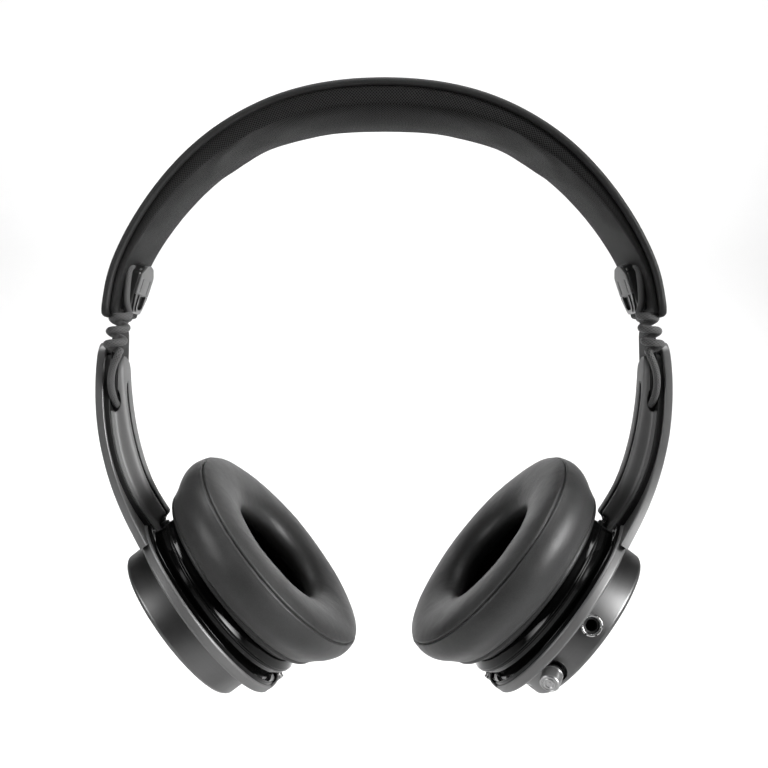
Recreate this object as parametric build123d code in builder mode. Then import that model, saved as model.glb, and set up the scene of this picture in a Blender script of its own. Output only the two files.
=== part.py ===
from build123d import *
import os
from math import cos, hypot, radians, sin

os.makedirs("parts", exist_ok=True)

# Over-ear headphones, mm, +Z up, wearer's head between the cups, origin where the pad rests on the head.
# Heights in the lists below are measured from the object's mid height; CROWN moves them to the origin.
CROWN = 84.3

# headband
BAND_DEPTH = 41.0
COVER_T = 2.4
SPRING_T = 0.8
SPRING_W = 26.0
FORK_W = 11.0
PAD_DEPTH = 37.0
PAD_CROWN = 8.4
PAD_END = 1.0

# adjuster
LEAN = 18.0
BLOCK_LOW = 2.0
BLOCK_TOP = 18.0
BLOCK_D = 20.0
BLADE_T = 1.5
STEM_W = 9.0
STEM_TOP = 26.0
SLOT_FIT = 0.06
NOTCHES = 6
NOTCH_STEP = 3.0

# ear cup
TILT = 37.0
SWIVEL = 4.4
PIVOT_A = 15.6
PIN_R = 1.25
PIN_FIT = 0.05
HOUSING_R = 27.6
HOUSING_H = 9.4
RING_R = 34.2
DISH_R = 32.6
CUP_R = 31.2
FLANGE_R = 37.6
CUSHION_R = 40.0
EAR_R = 17.5

# arm
SHELL_T = 2.6
NECK_W = 23.0
RAIL_W = 13.0

# controls
JACK_R = 1.78
JACK_DEPTH = 14.0
KNOB_R = 3.2
KNOB_ANGLE = 37.0
CONTROL_A = 5.6

CA = cos(radians(TILT))
SA = sin(radians(TILT))
CS = cos(radians(SWIVEL))
SS = sin(radians(SWIVEL))
N = Vector(CA, 0, SA)
T = Vector(SA, 0, -CA)
HUB = Vector(-66.75, 0, -78.7 - CROWN)
PIVOT = HUB + N * PIVOT_A
N2 = N * CS - Vector(0, 1, 0) * SS
Y2 = Vector(0, 1, 0) * CS + N * SS
HUB2 = PIVOT - N2 * PIVOT_A
UP = Vector(sin(radians(LEAN)), 0, cos(radians(LEAN)))
IN = Vector(cos(radians(LEAN)), 0, -sin(radians(LEAN)))
SLIDE = Vector(-84.9, 0, 22.0 - CROWN)

# profile planes hold (radius, height along the axis)
HOUSING_PROFILE = Plane(origin=HUB, x_dir=T, z_dir=(0, -1, 0))
HOUSING_AXIS = Axis(HUB, N)
CUP_PROFILE = Plane(origin=HUB2, x_dir=T, z_dir=Y2 * -1)
CUP_AXIS = Axis(HUB2, N2)
SLIDE_SIDE = Plane(origin=SLIDE, x_dir=IN, z_dir=(0, -1, 0))

# outer line of the band, one half, (half width, height)
BAND = [(0.0, 95.9), (15.6, 94.9), (30.6, 91.6), (45.0, 85.4), (57.7, 76.8), (68.6, 65.9),
        (77.1, 54.3), (83.0, 43.6), (86.5, 34.4), (88.3, 24.6), (88.75, 21.2)]
# outer line of the arm from its top to where it meets the ring
ARM = [(-91.0, 13.4), (-91.9, 5.0), (-92.15, -3.8), (-91.0, -17.2), (-86.9, -32.2), (-80.5, -44.2)]
# inner line of the rail on the arm
RAIL = [(-84.2, 9.5), (-83.9, 2.0), (-83.2, -6.0), (-81.6, -16.0), (-78.9, -26.0), (-75.6, -34.0), (-71.6, -40.6)]


def drop(points):
    return [(x, z - CROWN) for x, z in points]


def full_line(points):
    left = [(-x, z) for x, z in points]
    return left[::-1] + points[1:]


def inset(points, amounts):
    """Move a line to its right-hand side by the given amounts."""
    out = []
    last = len(points) - 1
    for i, (x, z) in enumerate(points):
        a = points[max(i - 1, 0)]
        b = points[min(i + 1, last)]
        size = hypot(b[0] - a[0], b[1] - a[1])
        out.append((x + (b[1] - a[1]) / size * amounts[i], z - (b[0] - a[0]) / size * amounts[i]))
    return out


def strip_between(outer, inner):
    """Closed face between two smooth lines."""
    Spline(*[(x, z) for x, z in outer])
    Line(outer[-1], inner[-1])
    Spline(*[(x, z) for x, z in inner])
    Line(inner[0], outer[0])


def save(part, name):
    part.label = name
    export_step(part, "parts/" + name + ".step")


def save_pair(part, name):
    save(part, name + "_l")
    with BuildPart() as other:
        mirror(part, about=Plane.YZ)
    save(other.part, name + "_r")
    return other.part


def at_cup(r, y, a):
    return HUB + T * r + Vector(0, 1, 0) * y + N * a


# ---------------------------------------------------------------- headband
BAND_LINE = full_line(drop(BAND))
COUNT = len(BAND_LINE)
COVER_IN = inset(BAND_LINE, [COVER_T] * COUNT)
SPRING_IN = inset(BAND_LINE, [COVER_T + SPRING_T] * COUNT)


def pad_depths(extra):
    mid = (COUNT - 1) / 2
    sizes = []
    for i in range(COUNT):
        k = 0.5 + 0.5 * cos(radians(180) * min(abs(i - mid) / mid / 0.85, 1))
        sizes.append(COVER_T + SPRING_T + extra + PAD_END + (PAD_CROWN - PAD_END) * k)
    return sizes


PAD_IN = inset(BAND_LINE, pad_depths(0))

with BuildPart() as band_cover:
    with BuildSketch(Plane.XZ):
        with BuildLine():
            strip_between(BAND_LINE, COVER_IN)
        make_face()
    extrude(amount=BAND_DEPTH / 2, both=True)
    fillet(band_cover.edges().filter_by(Axis.Y), 0.9)

with BuildPart() as band_spring:
    with BuildSketch(Plane.XZ):
        with BuildLine():
            strip_between(COVER_IN, SPRING_IN)
        make_face()
        with Locations((0, 10 - CROWN)):
            Rectangle(200, 30, mode=Mode.SUBTRACT)
    extrude(amount=SPRING_W / 2, both=True)
    with BuildSketch(Plane.XZ):
        with Locations((-85, 36 - CROWN), (85, 36 - CROWN)):
            Rectangle(50, 52)
    extrude(amount=FORK_W / 2, both=True, mode=Mode.SUBTRACT)

with BuildPart() as stem_space:
    with BuildSketch(SLIDE_SIDE):
        with Locations((0, 14)):
            Rectangle(BLADE_T + 0.8, 43)
    extrude(amount=STEM_W / 2 + 0.4, both=True)

# ---------------------------------------------------------------- adjuster block
with BuildPart() as slider_block_l:
    with BuildSketch(SLIDE_SIDE):
        with BuildLine():
            Polyline((-1.6, 3.4), (-0.6, BLOCK_LOW), (1.4, BLOCK_LOW), (2.2, 2.8), (2.2, BLOCK_TOP),
                     (-1.6, BLOCK_TOP), close=True)
        make_face()
    extrude(amount=BLOCK_D / 2, both=True)
    with BuildSketch(SLIDE_SIDE):
        with Locations((0, 10)):
            Rectangle(BLADE_T + 2 * SLOT_FIT, 24)
    extrude(amount=STEM_W / 2 + SLOT_FIT, both=True, mode=Mode.SUBTRACT)
    with BuildSketch(SLIDE_SIDE):
        with Locations((1.5, 9.0)):
            Rectangle(2.0, 3.4)
    extrude(amount=1.7, both=True, mode=Mode.SUBTRACT)
    with Locations(Plane(origin=SLIDE + IN * 2.2 + UP * 15.2, x_dir=(0, 1, 0), z_dir=IN)):
        with Locations((-7.6, 0), (7.6, 0)):
            Hole(0.8, depth=3.8)
    add(band_spring.part, mode=Mode.SUBTRACT)
    add(band_cover.part, mode=Mode.SUBTRACT)

with BuildPart() as detent_plate_l:
    with BuildSketch(Plane(origin=SLIDE + IN * 2.2, x_dir=(0, 1, 0), z_dir=IN)):
        with BuildLine():
            Polyline((-9.8, 7.0), (-7.0, 2.4), (7.0, 2.4), (9.8, 7.0), (9.8, 17.9), (-9.8, 17.9), close=True)
        make_face()
        with Locations((0, 4.4)):
            Rectangle(9.0, 5.6, mode=Mode.SUBTRACT)
        with Locations((-4.1, 9.6), (4.1, 9.6)):
            Rectangle(0.8, 5.6, mode=Mode.SUBTRACT)
        with Locations((-7.6, 15.2), (7.6, 15.2)):
            Circle(0.8, mode=Mode.SUBTRACT)
    extrude(amount=1.0)
    with BuildSketch(Plane(origin=SLIDE + IN * 2.2, x_dir=(0, 1, 0), z_dir=IN * -1)):
        with Locations((0, -9.0)):
            Circle(1.1)
    extrude(amount=1.4, taper=12)

with BuildPart() as block_screws_l:
    with Locations(Plane(origin=SLIDE + IN * 3.2 + UP * 15.2, x_dir=(0, 1, 0), z_dir=IN)):
        with Locations((-7.6, 0), (7.6, 0)):
            Cylinder(0.72, 4.2, align=(Align.CENTER, Align.CENTER, Align.MAX))
            Cylinder(1.5, 0.6, align=(Align.CENTER, Align.CENTER, Align.MIN))
    add(band_spring.part, mode=Mode.SUBTRACT)
    add(band_cover.part, mode=Mode.SUBTRACT)

with BuildPart() as block_space:
    with BuildSketch(SLIDE_SIDE):
        with Locations((4.0, 10.0)):
            Rectangle(11.4, 16.4)
    extrude(amount=BLOCK_D / 2 + 0.2, both=True)

# ---------------------------------------------------------------- arm
ARM_LINE = drop(ARM)
ARM_END = [HUB + T * -27.0 + N * 9.7, HUB + T * 36.0 + N * 9.7]
OUTER = ARM_LINE + [(ARM_END[0].X, ARM_END[0].Z)]
# the line runs downwards with the head on its left, so insets towards the head are negative
SHELL_IN = inset(OUTER, [-SHELL_T] * len(OUTER))
FRAME_IN = inset(OUTER, [-(SHELL_T + 1.8)] * len(OUTER))
RAIL_LINE = drop(RAIL)


def planform(extra):
    """Outline of the arm seen from the side: neck, flared shoulders and the ring."""
    half = NECK_W / 2 + extra
    reach = RING_R + extra
    cz = HUB.Z + 9.7 * SA
    p0 = (-half + 5, 13.4 - CROWN + extra)
    p1 = (half - 5, 13.4 - CROWN + extra)
    p2 = (half, 8.4 - CROWN)
    p3 = (half, -20 - CROWN)
    p4 = (reach * sin(radians(58)), cz + reach * CA * cos(radians(58)) + 3.0)
    Line(p0, p1)
    TangentArc(p1, p2, tangent=(1, 0))
    Line(p2, p3)
    Spline(p3, p4, tangents=((0, -1), (0.75, -0.66)))
    Line(p4, (0, cz))
    Line((0, cz), (-p4[0], p4[1]))
    Spline((-p4[0], p4[1]), (-p3[0], p3[1]), tangents=((0.75, 0.66), (0, 1)))
    Line((-p3[0], p3[1]), (-p2[0], p2[1]))
    TangentArc((-p2[0], p2[1]), p0, tangent=(0, 1))


with BuildPart() as neck_space:
    with BuildSketch(Plane.YZ.offset(-110)):
        with BuildLine():
            planform(0)
        make_face()
    extrude(amount=70)

with BuildPart() as ring_space:
    with BuildSketch(Plane(origin=HUB + N * 5, x_dir=T, z_dir=N)):
        Circle(RING_R)
    extrude(amount=20)

with BuildPart() as dish_space:
    with BuildSketch(Plane(origin=HUB + N * 5, x_dir=T, z_dir=N)):
        Circle(DISH_R)
    extrude(amount=30)

with BuildPart() as arm_shell_l:
    with BuildSketch(Plane.XZ):
        with BuildLine():
            Spline(*OUTER)
            Line(OUTER[-1], SHELL_IN[-1])
            Spline(*SHELL_IN)
            Line(SHELL_IN[0], OUTER[0])
        make_face()
    extrude(amount=40, both=True)
    add(neck_space.part, mode=Mode.INTERSECT)
    with BuildSketch(Plane(origin=HUB + N * 9.7, x_dir=T, z_dir=N)):
        Circle(RING_R)
    extrude(amount=2.3)
    add(dish_space.part, mode=Mode.SUBTRACT)

with BuildPart() as housing_screws_l:
    with Locations(Plane(origin=HUB + N * 9.8, x_dir=T, z_dir=N)):
        with PolarLocations(22.0, 4, start_angle=-30):
            Cylinder(0.9, 6.2, align=(Align.CENTER, Align.CENTER, Align.MAX))
            Cylinder(1.7, 0.4, align=(Align.CENTER, Align.CENTER, Align.MIN))

with BuildPart() as arm_frame_l:
    with BuildSketch(Plane(origin=HUB + N * HOUSING_H, x_dir=T, z_dir=N)):
        Circle(DISH_R)
    extrude(amount=0.8)
    with BuildSketch(Plane(origin=HUB + N * HOUSING_H, x_dir=T, z_dir=N)):
        Circle(DISH_R)
        Circle(DISH_R - 0.7, mode=Mode.SUBTRACT)
    extrude(amount=4.8)
    with BuildSketch(Plane(origin=HUB + N * 12.0, x_dir=T, z_dir=N)):
        Circle(RING_R - 0.2)
        Circle(DISH_R - 0.7, mode=Mode.SUBTRACT)
    extrude(amount=2.2)
    with BuildSketch(Plane(origin=HUB + N * 13.3, x_dir=T, z_dir=N)):
        Circle(DISH_R + 0.1)
    extrude(amount=1.0, mode=Mode.SUBTRACT)
    with BuildSketch(Plane(origin=HUB + N * 14.2, x_dir=T, z_dir=N)):
        with Locations((33.2, 0), (-33.2, 0)):
            Rectangle(1.7, 9.0)
    extrude(amount=3.2)
    add(housing_screws_l.part, mode=Mode.SUBTRACT)
    add(arm_shell_l.part, mode=Mode.SUBTRACT)
    with Locations(Plane(origin=PIVOT, x_dir=(0, 1, 0), z_dir=T)):
        Cylinder(PIN_R, 80, mode=Mode.SUBTRACT)
        with Locations((0, 0, 32.5)):
            Cylinder(2.0, 0.7, align=(Align.CENTER, Align.CENTER, Align.MAX))
            Cylinder(PIN_R, 4, mode=Mode.SUBTRACT)
        with Locations((0, 0, -32.5)):
            Cylinder(2.0, 2.2, align=(Align.CENTER, Align.CENTER, Align.MIN))
            Cylinder(PIN_R, 6, mode=Mode.SUBTRACT)

with BuildPart() as channel_strip_l:
    with BuildSketch(Plane.XZ):
        with BuildLine():
            Spline(*SHELL_IN)
            Line(SHELL_IN[-1], FRAME_IN[-1])
            Spline(*FRAME_IN)
            Line(FRAME_IN[0], SHELL_IN[0])
        make_face()
    extrude(amount=NECK_W / 2 - 1.2, both=True)
    with BuildSketch(Plane.XZ):
        with Locations((-91, 8 - CROWN)):
            Rectangle(20, 17)
    extrude(amount=30, both=True, mode=Mode.SUBTRACT)
    add(ring_space.part, mode=Mode.SUBTRACT)

with BuildPart() as arm_rail_l:
    with BuildSketch(Plane.XZ):
        with BuildLine():
            Spline(*FRAME_IN)
            Line(FRAME_IN[-1], (RAIL_LINE[-1][0] + 1.5, RAIL_LINE[-1][1] - 3.0))
            Line((RAIL_LINE[-1][0] + 1.5, RAIL_LINE[-1][1] - 3.0), RAIL_LINE[-1])
            Spline(*RAIL_LINE[::-1])
            Line(RAIL_LINE[0], FRAME_IN[0])
        make_face()
        with Locations((-86, 14.4 - CROWN)):
            Rectangle(20, 10, mode=Mode.SUBTRACT)
    extrude(amount=RAIL_W / 2, both=True)
    with BuildSketch(Plane.XZ):
        with Locations((-68.5, -45.3 - CROWN)):
            Circle(3.8)
    extrude(amount=10, both=True, mode=Mode.SUBTRACT)
    with BuildSketch(Plane.YZ.offset(-100)):
        with Locations((0, -29.5 - CROWN)):
            SlotCenterToCenter(48, RAIL_W - 4.0, rotation=90)
    extrude(amount=60, mode=Mode.SUBTRACT)
    with BuildSketch(Plane(origin=HUB + N * 9.0, x_dir=T, z_dir=N)):
        Circle(RING_R + 0.3)
    extrude(amount=40, mode=Mode.SUBTRACT)

# ---------------------------------------------------------------- blade
BLADE_FOOT = (-86.2, 18.1 - CROWN)
BLADE_IN = (-86.75, -4.0 - CROWN)
with BuildPart() as slider_blade_l:
    with BuildSketch(SLIDE_SIDE):
        with Locations((0, (STEM_TOP - 4.4) / 2)):
            Rectangle(BLADE_T, STEM_TOP + 4.4)
    extrude(amount=STEM_W / 2, both=True)
    with BuildSketch(SLIDE_SIDE):
        with Locations(*[(BLADE_T / 2 + 0.1, 9.0 + (i - 1) * NOTCH_STEP) for i in range(NOTCHES)]):
            Circle(0.45)
    extrude(amount=1.8, both=True, mode=Mode.SUBTRACT)
    with BuildSketch(Plane.XZ):
        with BuildLine():
            Polyline((BLADE_FOOT[0] - 0.75, BLADE_FOOT[1]), (BLADE_FOOT[0] + 0.75, BLADE_FOOT[1]),
                     (BLADE_IN[0] + 0.75, BLADE_IN[1]), (BLADE_IN[0] - 0.75, BLADE_IN[1]), close=True)
        make_face()
    extrude(amount=10, both=True)
    fillet(slider_blade_l.edges().filter_by(Axis.X, tolerance=5).group_by(Axis.Y)[-1], 0.6)

with BuildPart() as blade_screws_l:
    with Locations(Plane(origin=(-84.9, 0, 4.2 - CROWN), x_dir=(0, 1, 0), z_dir=(1, 0, 0))):
        with Locations((-8.6, 0), (8.6, 0)):
            Cylinder(0.8, 3.6, align=(Align.CENTER, Align.CENTER, Align.MAX))
            Cylinder(1.4, 0.6, align=(Align.CENTER, Align.CENTER, Align.MIN))

with BuildPart() as blade_cut_l:
    add(slider_blade_l.part)
    add(blade_screws_l.part, mode=Mode.SUBTRACT)

# the rail and the strip are cut where the blade and its screws pass
with BuildPart() as rail_cut_l:
    add(arm_rail_l.part)
    add(slider_blade_l.part, mode=Mode.SUBTRACT)
    add(blade_screws_l.part, mode=Mode.SUBTRACT)

with BuildPart() as strip_cut_l:
    add(channel_strip_l.part)
    add(slider_blade_l.part, mode=Mode.SUBTRACT)
    add(blade_screws_l.part, mode=Mode.SUBTRACT)

# ---------------------------------------------------------------- outer housing
HOUSING_FACE = Plane(origin=HUB, x_dir=T, z_dir=N)


def control_plane(angle, height):
    """Plane on the housing's side, x along the side, pointing outwards at an angle from the front."""
    c = cos(radians(angle))
    s = sin(radians(angle))
    out = Vector(0, -1, 0) * c + T * s
    return Plane(origin=HUB + N * height, x_dir=N, z_dir=out)


with BuildPart() as outer_housing_l:
    with BuildSketch(HOUSING_PROFILE):
        with BuildLine():
            Polyline((0, 0.2), (25.2, 0.2), (25.2, -0.6), (26.8, -0.6))
            RadiusArc((26.8, -0.6), (HOUSING_R, 0.2), -0.8)
            Polyline((HOUSING_R, 0.2), (HOUSING_R, HOUSING_H - 0.2), (26.2, HOUSING_H - 0.2), (26.2, 1.6),
                     (0, 1.6), (0, 0.2))
        make_face()
    revolve(axis=HOUSING_AXIS)
    with BuildSketch(control_plane(-90, 4.4)):
        SlotOverall(3.4, 0.9)
    extrude(amount=40, mode=Mode.SUBTRACT)

with BuildPart() as housing_cap_l:
    with BuildSketch(HOUSING_PROFILE):
        with BuildLine():
            Polyline((0, 0.2), (0, -1.0))
            Spline((0, -1.0), (14, -0.9), (24.0, -0.55), tangents=((1, 0), (1, 0.08)))
            Polyline((24.0, -0.55), (25.0, -0.3), (25.0, 0.2), (0, 0.2))
        make_face()
    revolve(axis=HOUSING_AXIS)

with BuildPart() as housing_plate_l:
    with BuildSketch(HOUSING_FACE.offset(7.8)):
        Circle(26.15)
        with PolarLocations(22.0, 4, start_angle=-30):
            Circle(0.9, mode=Mode.SUBTRACT)
    extrude(amount=1.4)

with BuildPart() as circuit_board_l:
    with BuildSketch(HOUSING_FACE.offset(2.4)):
        Circle(25.6)
    extrude(amount=1.0)

with BuildPart() as pivot_pins_l:
    with Locations(Plane(origin=PIVOT, x_dir=(0, 1, 0), z_dir=T)):
        with Locations((0, 0, 26.8), (0, 0, -33.9)):
            Cylinder(PIN_R, 7.1, align=(Align.CENTER, Align.CENTER, Align.MIN))

# ---------------------------------------------------------------- cup
with BuildPart() as cup_shell_l:
    with BuildSketch(CUP_PROFILE):
        with BuildLine():
            Polyline((0, 12.9), (20.0, 12.9), (24.4, 13.4), (30.4, 14.2), (CUP_R, 14.8), (CUP_R, 16.6))
            Spline((CUP_R, 16.6), (32.2, 18.4), (32.8, 20.7), (32.3, 22.4), (CUP_R, 23.4))
            Polyline((CUP_R, 23.4), (28.6, 23.4), (28.6, 15.6), (24.0, 14.9), (20.0, 14.5), (0, 14.5),
                     (0, 12.9))
        make_face()
    revolve(axis=CUP_AXIS)
    with BuildSketch(Plane(origin=HUB2, x_dir=T, z_dir=N2).offset(10)):
        with Locations((-34.5, 0)):
            Rectangle(11.6, 70)
    extrude(amount=13.4, mode=Mode.SUBTRACT)
    with BuildSketch(Plane(origin=HUB2 + N2 * 18.6 - T * 27.2, x_dir=Y2, z_dir=T * -1)):
        Rectangle(19, 8.8)
    extrude(amount=1.45)
    with Locations(Plane(origin=PIVOT, x_dir=Y2, z_dir=T)):
        with Locations((0, 0, 26.6)):
            Cylinder(2.5, 4.0, align=(Align.CENTER, Align.CENTER, Align.MIN))
        with Locations((0, 0, -28.0)):
            Cylinder(2.5, 4.0, align=(Align.CENTER, Align.CENTER, Align.MIN))
        Cylinder(PIN_R + PIN_FIT, 90, mode=Mode.SUBTRACT)

with BuildPart() as cup_flange_l:
    with BuildSketch(CUP_PROFILE):
        with BuildLine():
            Polyline((29.0, 26.0), (32.6, 25.9), (36.9, 26.3))
            RadiusArc((36.9, 26.3), (FLANGE_R, 27.0), -0.7)
            Polyline((FLANGE_R, 27.0), (FLANGE_R, 29.2), (26.4, 29.2), (26.4, 27.6), (29.0, 27.6), (29.0, 26.0))
        make_face()
    revolve(axis=CUP_AXIS)

with BuildPart() as baffle_l:
    with BuildSketch(CUP_PROFILE):
        with BuildLine():
            Polyline((20.4, 25.2), (20.4, 23.6), (28.4, 23.6), (28.4, 23.4), (30.8, 23.4), (30.8, 25.9),
                     (29.0, 25.9), (29.0, 27.6), (26.4, 27.6), (26.4, 25.2), close=True)
        make_face()
    revolve(axis=CUP_AXIS)

with BuildPart() as driver_frame_l:
    with BuildSketch(CUP_PROFILE):
        with BuildLine():
            Polyline((9.6, 20.4), (12.4, 20.4), (20.3, 24.0), (20.3, 25.2), (21.6, 25.2), (21.6, 26.4), (18.6, 26.4),
                     (18.6, 24.8), (12.0, 21.8), (9.6, 21.8), close=True)
        make_face()
    revolve(axis=CUP_AXIS)

with BuildPart() as driver_magnet_l:
    with BuildSketch(CUP_PROFILE):
        with BuildLine():
            Polyline((0, 17.0), (9.5, 17.0), (9.5, 22.6), (7.0, 22.6), (7.0, 19.0), (5.6, 19.0), (5.6, 22.6),
                     (0, 22.6), close=True)
        make_face()
    revolve(axis=CUP_AXIS)

with BuildPart() as diaphragm_l:
    with BuildSketch(CUP_PROFILE):
        with BuildLine():
            Polyline((18.5, 25.6), (18.5, 25.9), (15.6, 25.9))
            Spline((15.6, 25.9), (11.4, 27.0), (6.6, 25.9))
            Spline((6.6, 25.9), (3.6, 27.4), (0, 27.9), tangents=((-0.7, 0.7), (-1, 0)))
            Line((0, 27.9), (0, 27.6))
            Spline((0, 27.6), (3.5, 27.1), (6.6, 25.6), tangents=((1, 0), (0.7, -0.7)))
            Spline((6.6, 25.6), (11.4, 26.7), (15.6, 25.6))
            Line((15.6, 25.6), (18.5, 25.6))
        make_face()
    revolve(axis=CUP_AXIS)

with BuildPart() as driver_cloth_l:
    with BuildSketch(CUP_PROFILE):
        with BuildLine():
            Polyline((27.4, 29.25), (27.4, 29.75), (22.0, 30.6))
            Spline((22.0, 30.6), (11, 31.9), (0, 32.2), tangents=((-1, 0.2), (-1, 0)))
            Line((0, 32.2), (0, 31.7))
            Spline((0, 31.7), (11, 31.4), (22.0, 30.1), tangents=((1, 0), (1, -0.2)))
            Line((22.0, 30.1), (27.4, 29.25))
        make_face()
    revolve(axis=CUP_AXIS)

with BuildPart() as ear_cushion_l:
    with BuildSketch(CUP_PROFILE):
        with BuildLine():
            Spline((37.6, 29.3), (39.6, 33.0), (40.0, 37.0), (38.3, 41.4), (33.4, 43.4), (28.2, 43.8),
                   (22.6, 43.2), (18.0, 41.0), (17.6, 38.8), (19.6, 35.8), (22.8, 33.2),
                   tangents=((0.2, 1), (0.9, -0.8)))
            Polyline((22.8, 33.2), (27.7, 31.8), (27.7, 29.3), (37.6, 29.3))
        make_face()
    revolve(axis=CUP_AXIS)

# ---------------------------------------------------------------- link lead
LEAD_Y = -11.7
COIL_Y = -14.3
COIL_TOP = (-84.6, 20.0 - CROWN)
COIL_LOW = (-86.3, 11.2 - CROWN)
with BuildPart() as link_lead_l:
    with BuildLine():
        drop_in = Spline((-81.0, LEAD_Y, 38.6 - CROWN), (-81.8, LEAD_Y, 34.6 - CROWN), (-82.2, LEAD_Y, 28.0 - CROWN),
                         (-82.2, -12.6, 18.8 - CROWN), tangents=((-0.3, 0, -1), (0, -0.3, -1)))
    with BuildSketch(Plane(origin=drop_in @ 0, z_dir=drop_in % 0)):
        Circle(1.2)
    sweep(path=drop_in)
    with BuildSketch(Plane(origin=(COIL_TOP[0], COIL_Y, COIL_TOP[1]), x_dir=(0, 1, 0),
                           z_dir=(COIL_LOW[0] - COIL_TOP[0], 0, COIL_LOW[1] - COIL_TOP[1]))):
        Circle(3.9)
    extrude(amount=9.0)
    with BuildLine():
        hook = Spline((-84.0, -13.2, 11.6 - CROWN), (-86.2, -13.4, 6.0 - CROWN), (-87.7, -13.2, 1.0 - CROWN),
                      (-86.9, -11.9, -4.6 - CROWN), (-85.4, -9.4, -6.4 - CROWN),
                      tangents=((-0.4, 0, -1), (0.2, 1, 0)))
    with BuildSketch(Plane(origin=hook @ 0, z_dir=hook % 0)):
        Circle(1.2)
    sweep(path=hook)
    add(band_spring.part, mode=Mode.SUBTRACT)

# ---------------------------------------------------------------- pad, with room for the block, the stem and the lead
with BuildPart() as band_pad:
    with BuildSketch(Plane.XZ):
        with BuildLine():
            strip_between(SPRING_IN, PAD_IN)
        make_face()
    extrude(amount=PAD_DEPTH / 2, both=True)
    fillet(band_pad.edges().filter_by(Axis.Y), 0.4)
    with BuildSketch(Plane.XZ):
        with Locations((0, 17.6 - CROWN)):
            Rectangle(200, 10)
    extrude(amount=30, both=True, mode=Mode.SUBTRACT)
    add(block_space.part, mode=Mode.SUBTRACT)
    add(stem_space.part, mode=Mode.SUBTRACT)
    add(link_lead_l.part, mode=Mode.SUBTRACT)
    mirror(block_space.part, about=Plane.YZ, mode=Mode.SUBTRACT)
    mirror(stem_space.part, about=Plane.YZ, mode=Mode.SUBTRACT)
    mirror(link_lead_l.part, about=Plane.YZ, mode=Mode.SUBTRACT)

# ---------------------------------------------------------------- inside the left housing
with BuildPart() as battery_l:
    with BuildSketch(HOUSING_FACE.offset(3.5)):
        Rectangle(26, 34)
    extrude(amount=4.0)
    fillet(battery_l.edges().filter_by(lambda e: abs(e.tangent_at(0).dot(N)) > 0.99), 1.5)

# ---------------------------------------------------------------- controls, laid out on this side and mirrored
JACK = control_plane(0, CONTROL_A)
KNOB = control_plane(KNOB_ANGLE, 4.9)
PORT = control_plane(80, CONTROL_A)

with BuildPart() as jack_space:
    with BuildSketch(JACK.offset(12.4)):
        Rectangle(4.2, 5.6)
    extrude(amount=13.0)
    with BuildSketch(JACK.offset(24)):
        Circle(2.5)
    extrude(amount=8)
    with BuildSketch(JACK.offset(26.9)):
        Circle(3.5)
    extrude(amount=6)

with BuildPart() as knob_space:
    with BuildSketch(KNOB.offset(15.4)):
        Rectangle(8.2, 8.2)
    extrude(amount=10.4)
    with BuildSketch(KNOB.offset(24.0)):
        Circle(4.1)
    extrude(amount=9)

with BuildPart() as port_space:
    with BuildSketch(PORT.offset(20.5)):
        SlotOverall(9.0, 3.3, rotation=90)
    extrude(amount=12)

with BuildPart() as jack_socket:
    with BuildSketch(JACK.offset(12.6)):
        Rectangle(4.1, 5.5)
    extrude(amount=12.8)
    with BuildSketch(JACK.offset(25.4)):
        Circle(2.5)
    extrude(amount=2.6)
    with BuildSketch(JACK.offset(28.0 - JACK_DEPTH)):
        Circle(JACK_R)
    extrude(amount=JACK_DEPTH, mode=Mode.SUBTRACT)

with BuildPart() as jack_ring:
    with BuildSketch(JACK.offset(26.9)):
        Circle(3.45)
        Circle(2.5, mode=Mode.SUBTRACT)
    extrude(amount=1.7)
    with BuildSketch(JACK.offset(28.1)):
        with PolarLocations(3.45, 6):
            Circle(0.5)
    extrude(amount=1, mode=Mode.SUBTRACT)

with BuildPart() as charge_port:
    with BuildSketch(PORT.offset(20.6)):
        SlotOverall(8.9, 3.2, rotation=90)
    extrude(amount=6.7)
    with BuildSketch(PORT.offset(21.2)):
        SlotOverall(8.3, 2.6, rotation=90)
    extrude(amount=7, mode=Mode.SUBTRACT)
    with BuildSketch(PORT.offset(21.2)):
        Rectangle(0.7, 6.4)
    extrude(amount=5.2)

with BuildPart() as switch_base:
    with BuildSketch(KNOB.offset(15.6)):
        Rectangle(7.8, 7.8)
    extrude(amount=4.6)
    with BuildSketch(KNOB.offset(20.2)):
        with Locations((0, 3.5), (0, -3.5)):
            Rectangle(2.4, 0.8)
    extrude(amount=2.6)
    with BuildSketch(Plane(origin=KNOB.origin + KNOB.z_dir * 21.6, x_dir=KNOB.x_dir, z_dir=KNOB.y_dir)):
        Circle(0.45)
    extrude(amount=5, both=True, mode=Mode.SUBTRACT)

with BuildPart() as knob_gimbal:
    with BuildSketch(KNOB.offset(20.8)):
        Circle(2.9)
        Circle(2.15, mode=Mode.SUBTRACT)
    extrude(amount=1.6)
    with BuildSketch(Plane(origin=KNOB.origin + KNOB.z_dir * 21.6, x_dir=KNOB.y_dir, z_dir=KNOB.x_dir)):
        Circle(0.45)
    extrude(amount=5, both=True, mode=Mode.SUBTRACT)
    with BuildSketch(Plane(origin=KNOB.origin + KNOB.z_dir * 21.6 + KNOB.y_dir * 2.7, x_dir=KNOB.x_dir,
                           z_dir=KNOB.y_dir)):
        Circle(0.4)
    extrude(amount=1.0)
    with BuildSketch(Plane(origin=KNOB.origin + KNOB.z_dir * 21.6 - KNOB.y_dir * 2.7, x_dir=KNOB.x_dir,
                           z_dir=KNOB.y_dir * -1)):
        Circle(0.4)
    extrude(amount=1.0)

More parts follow.
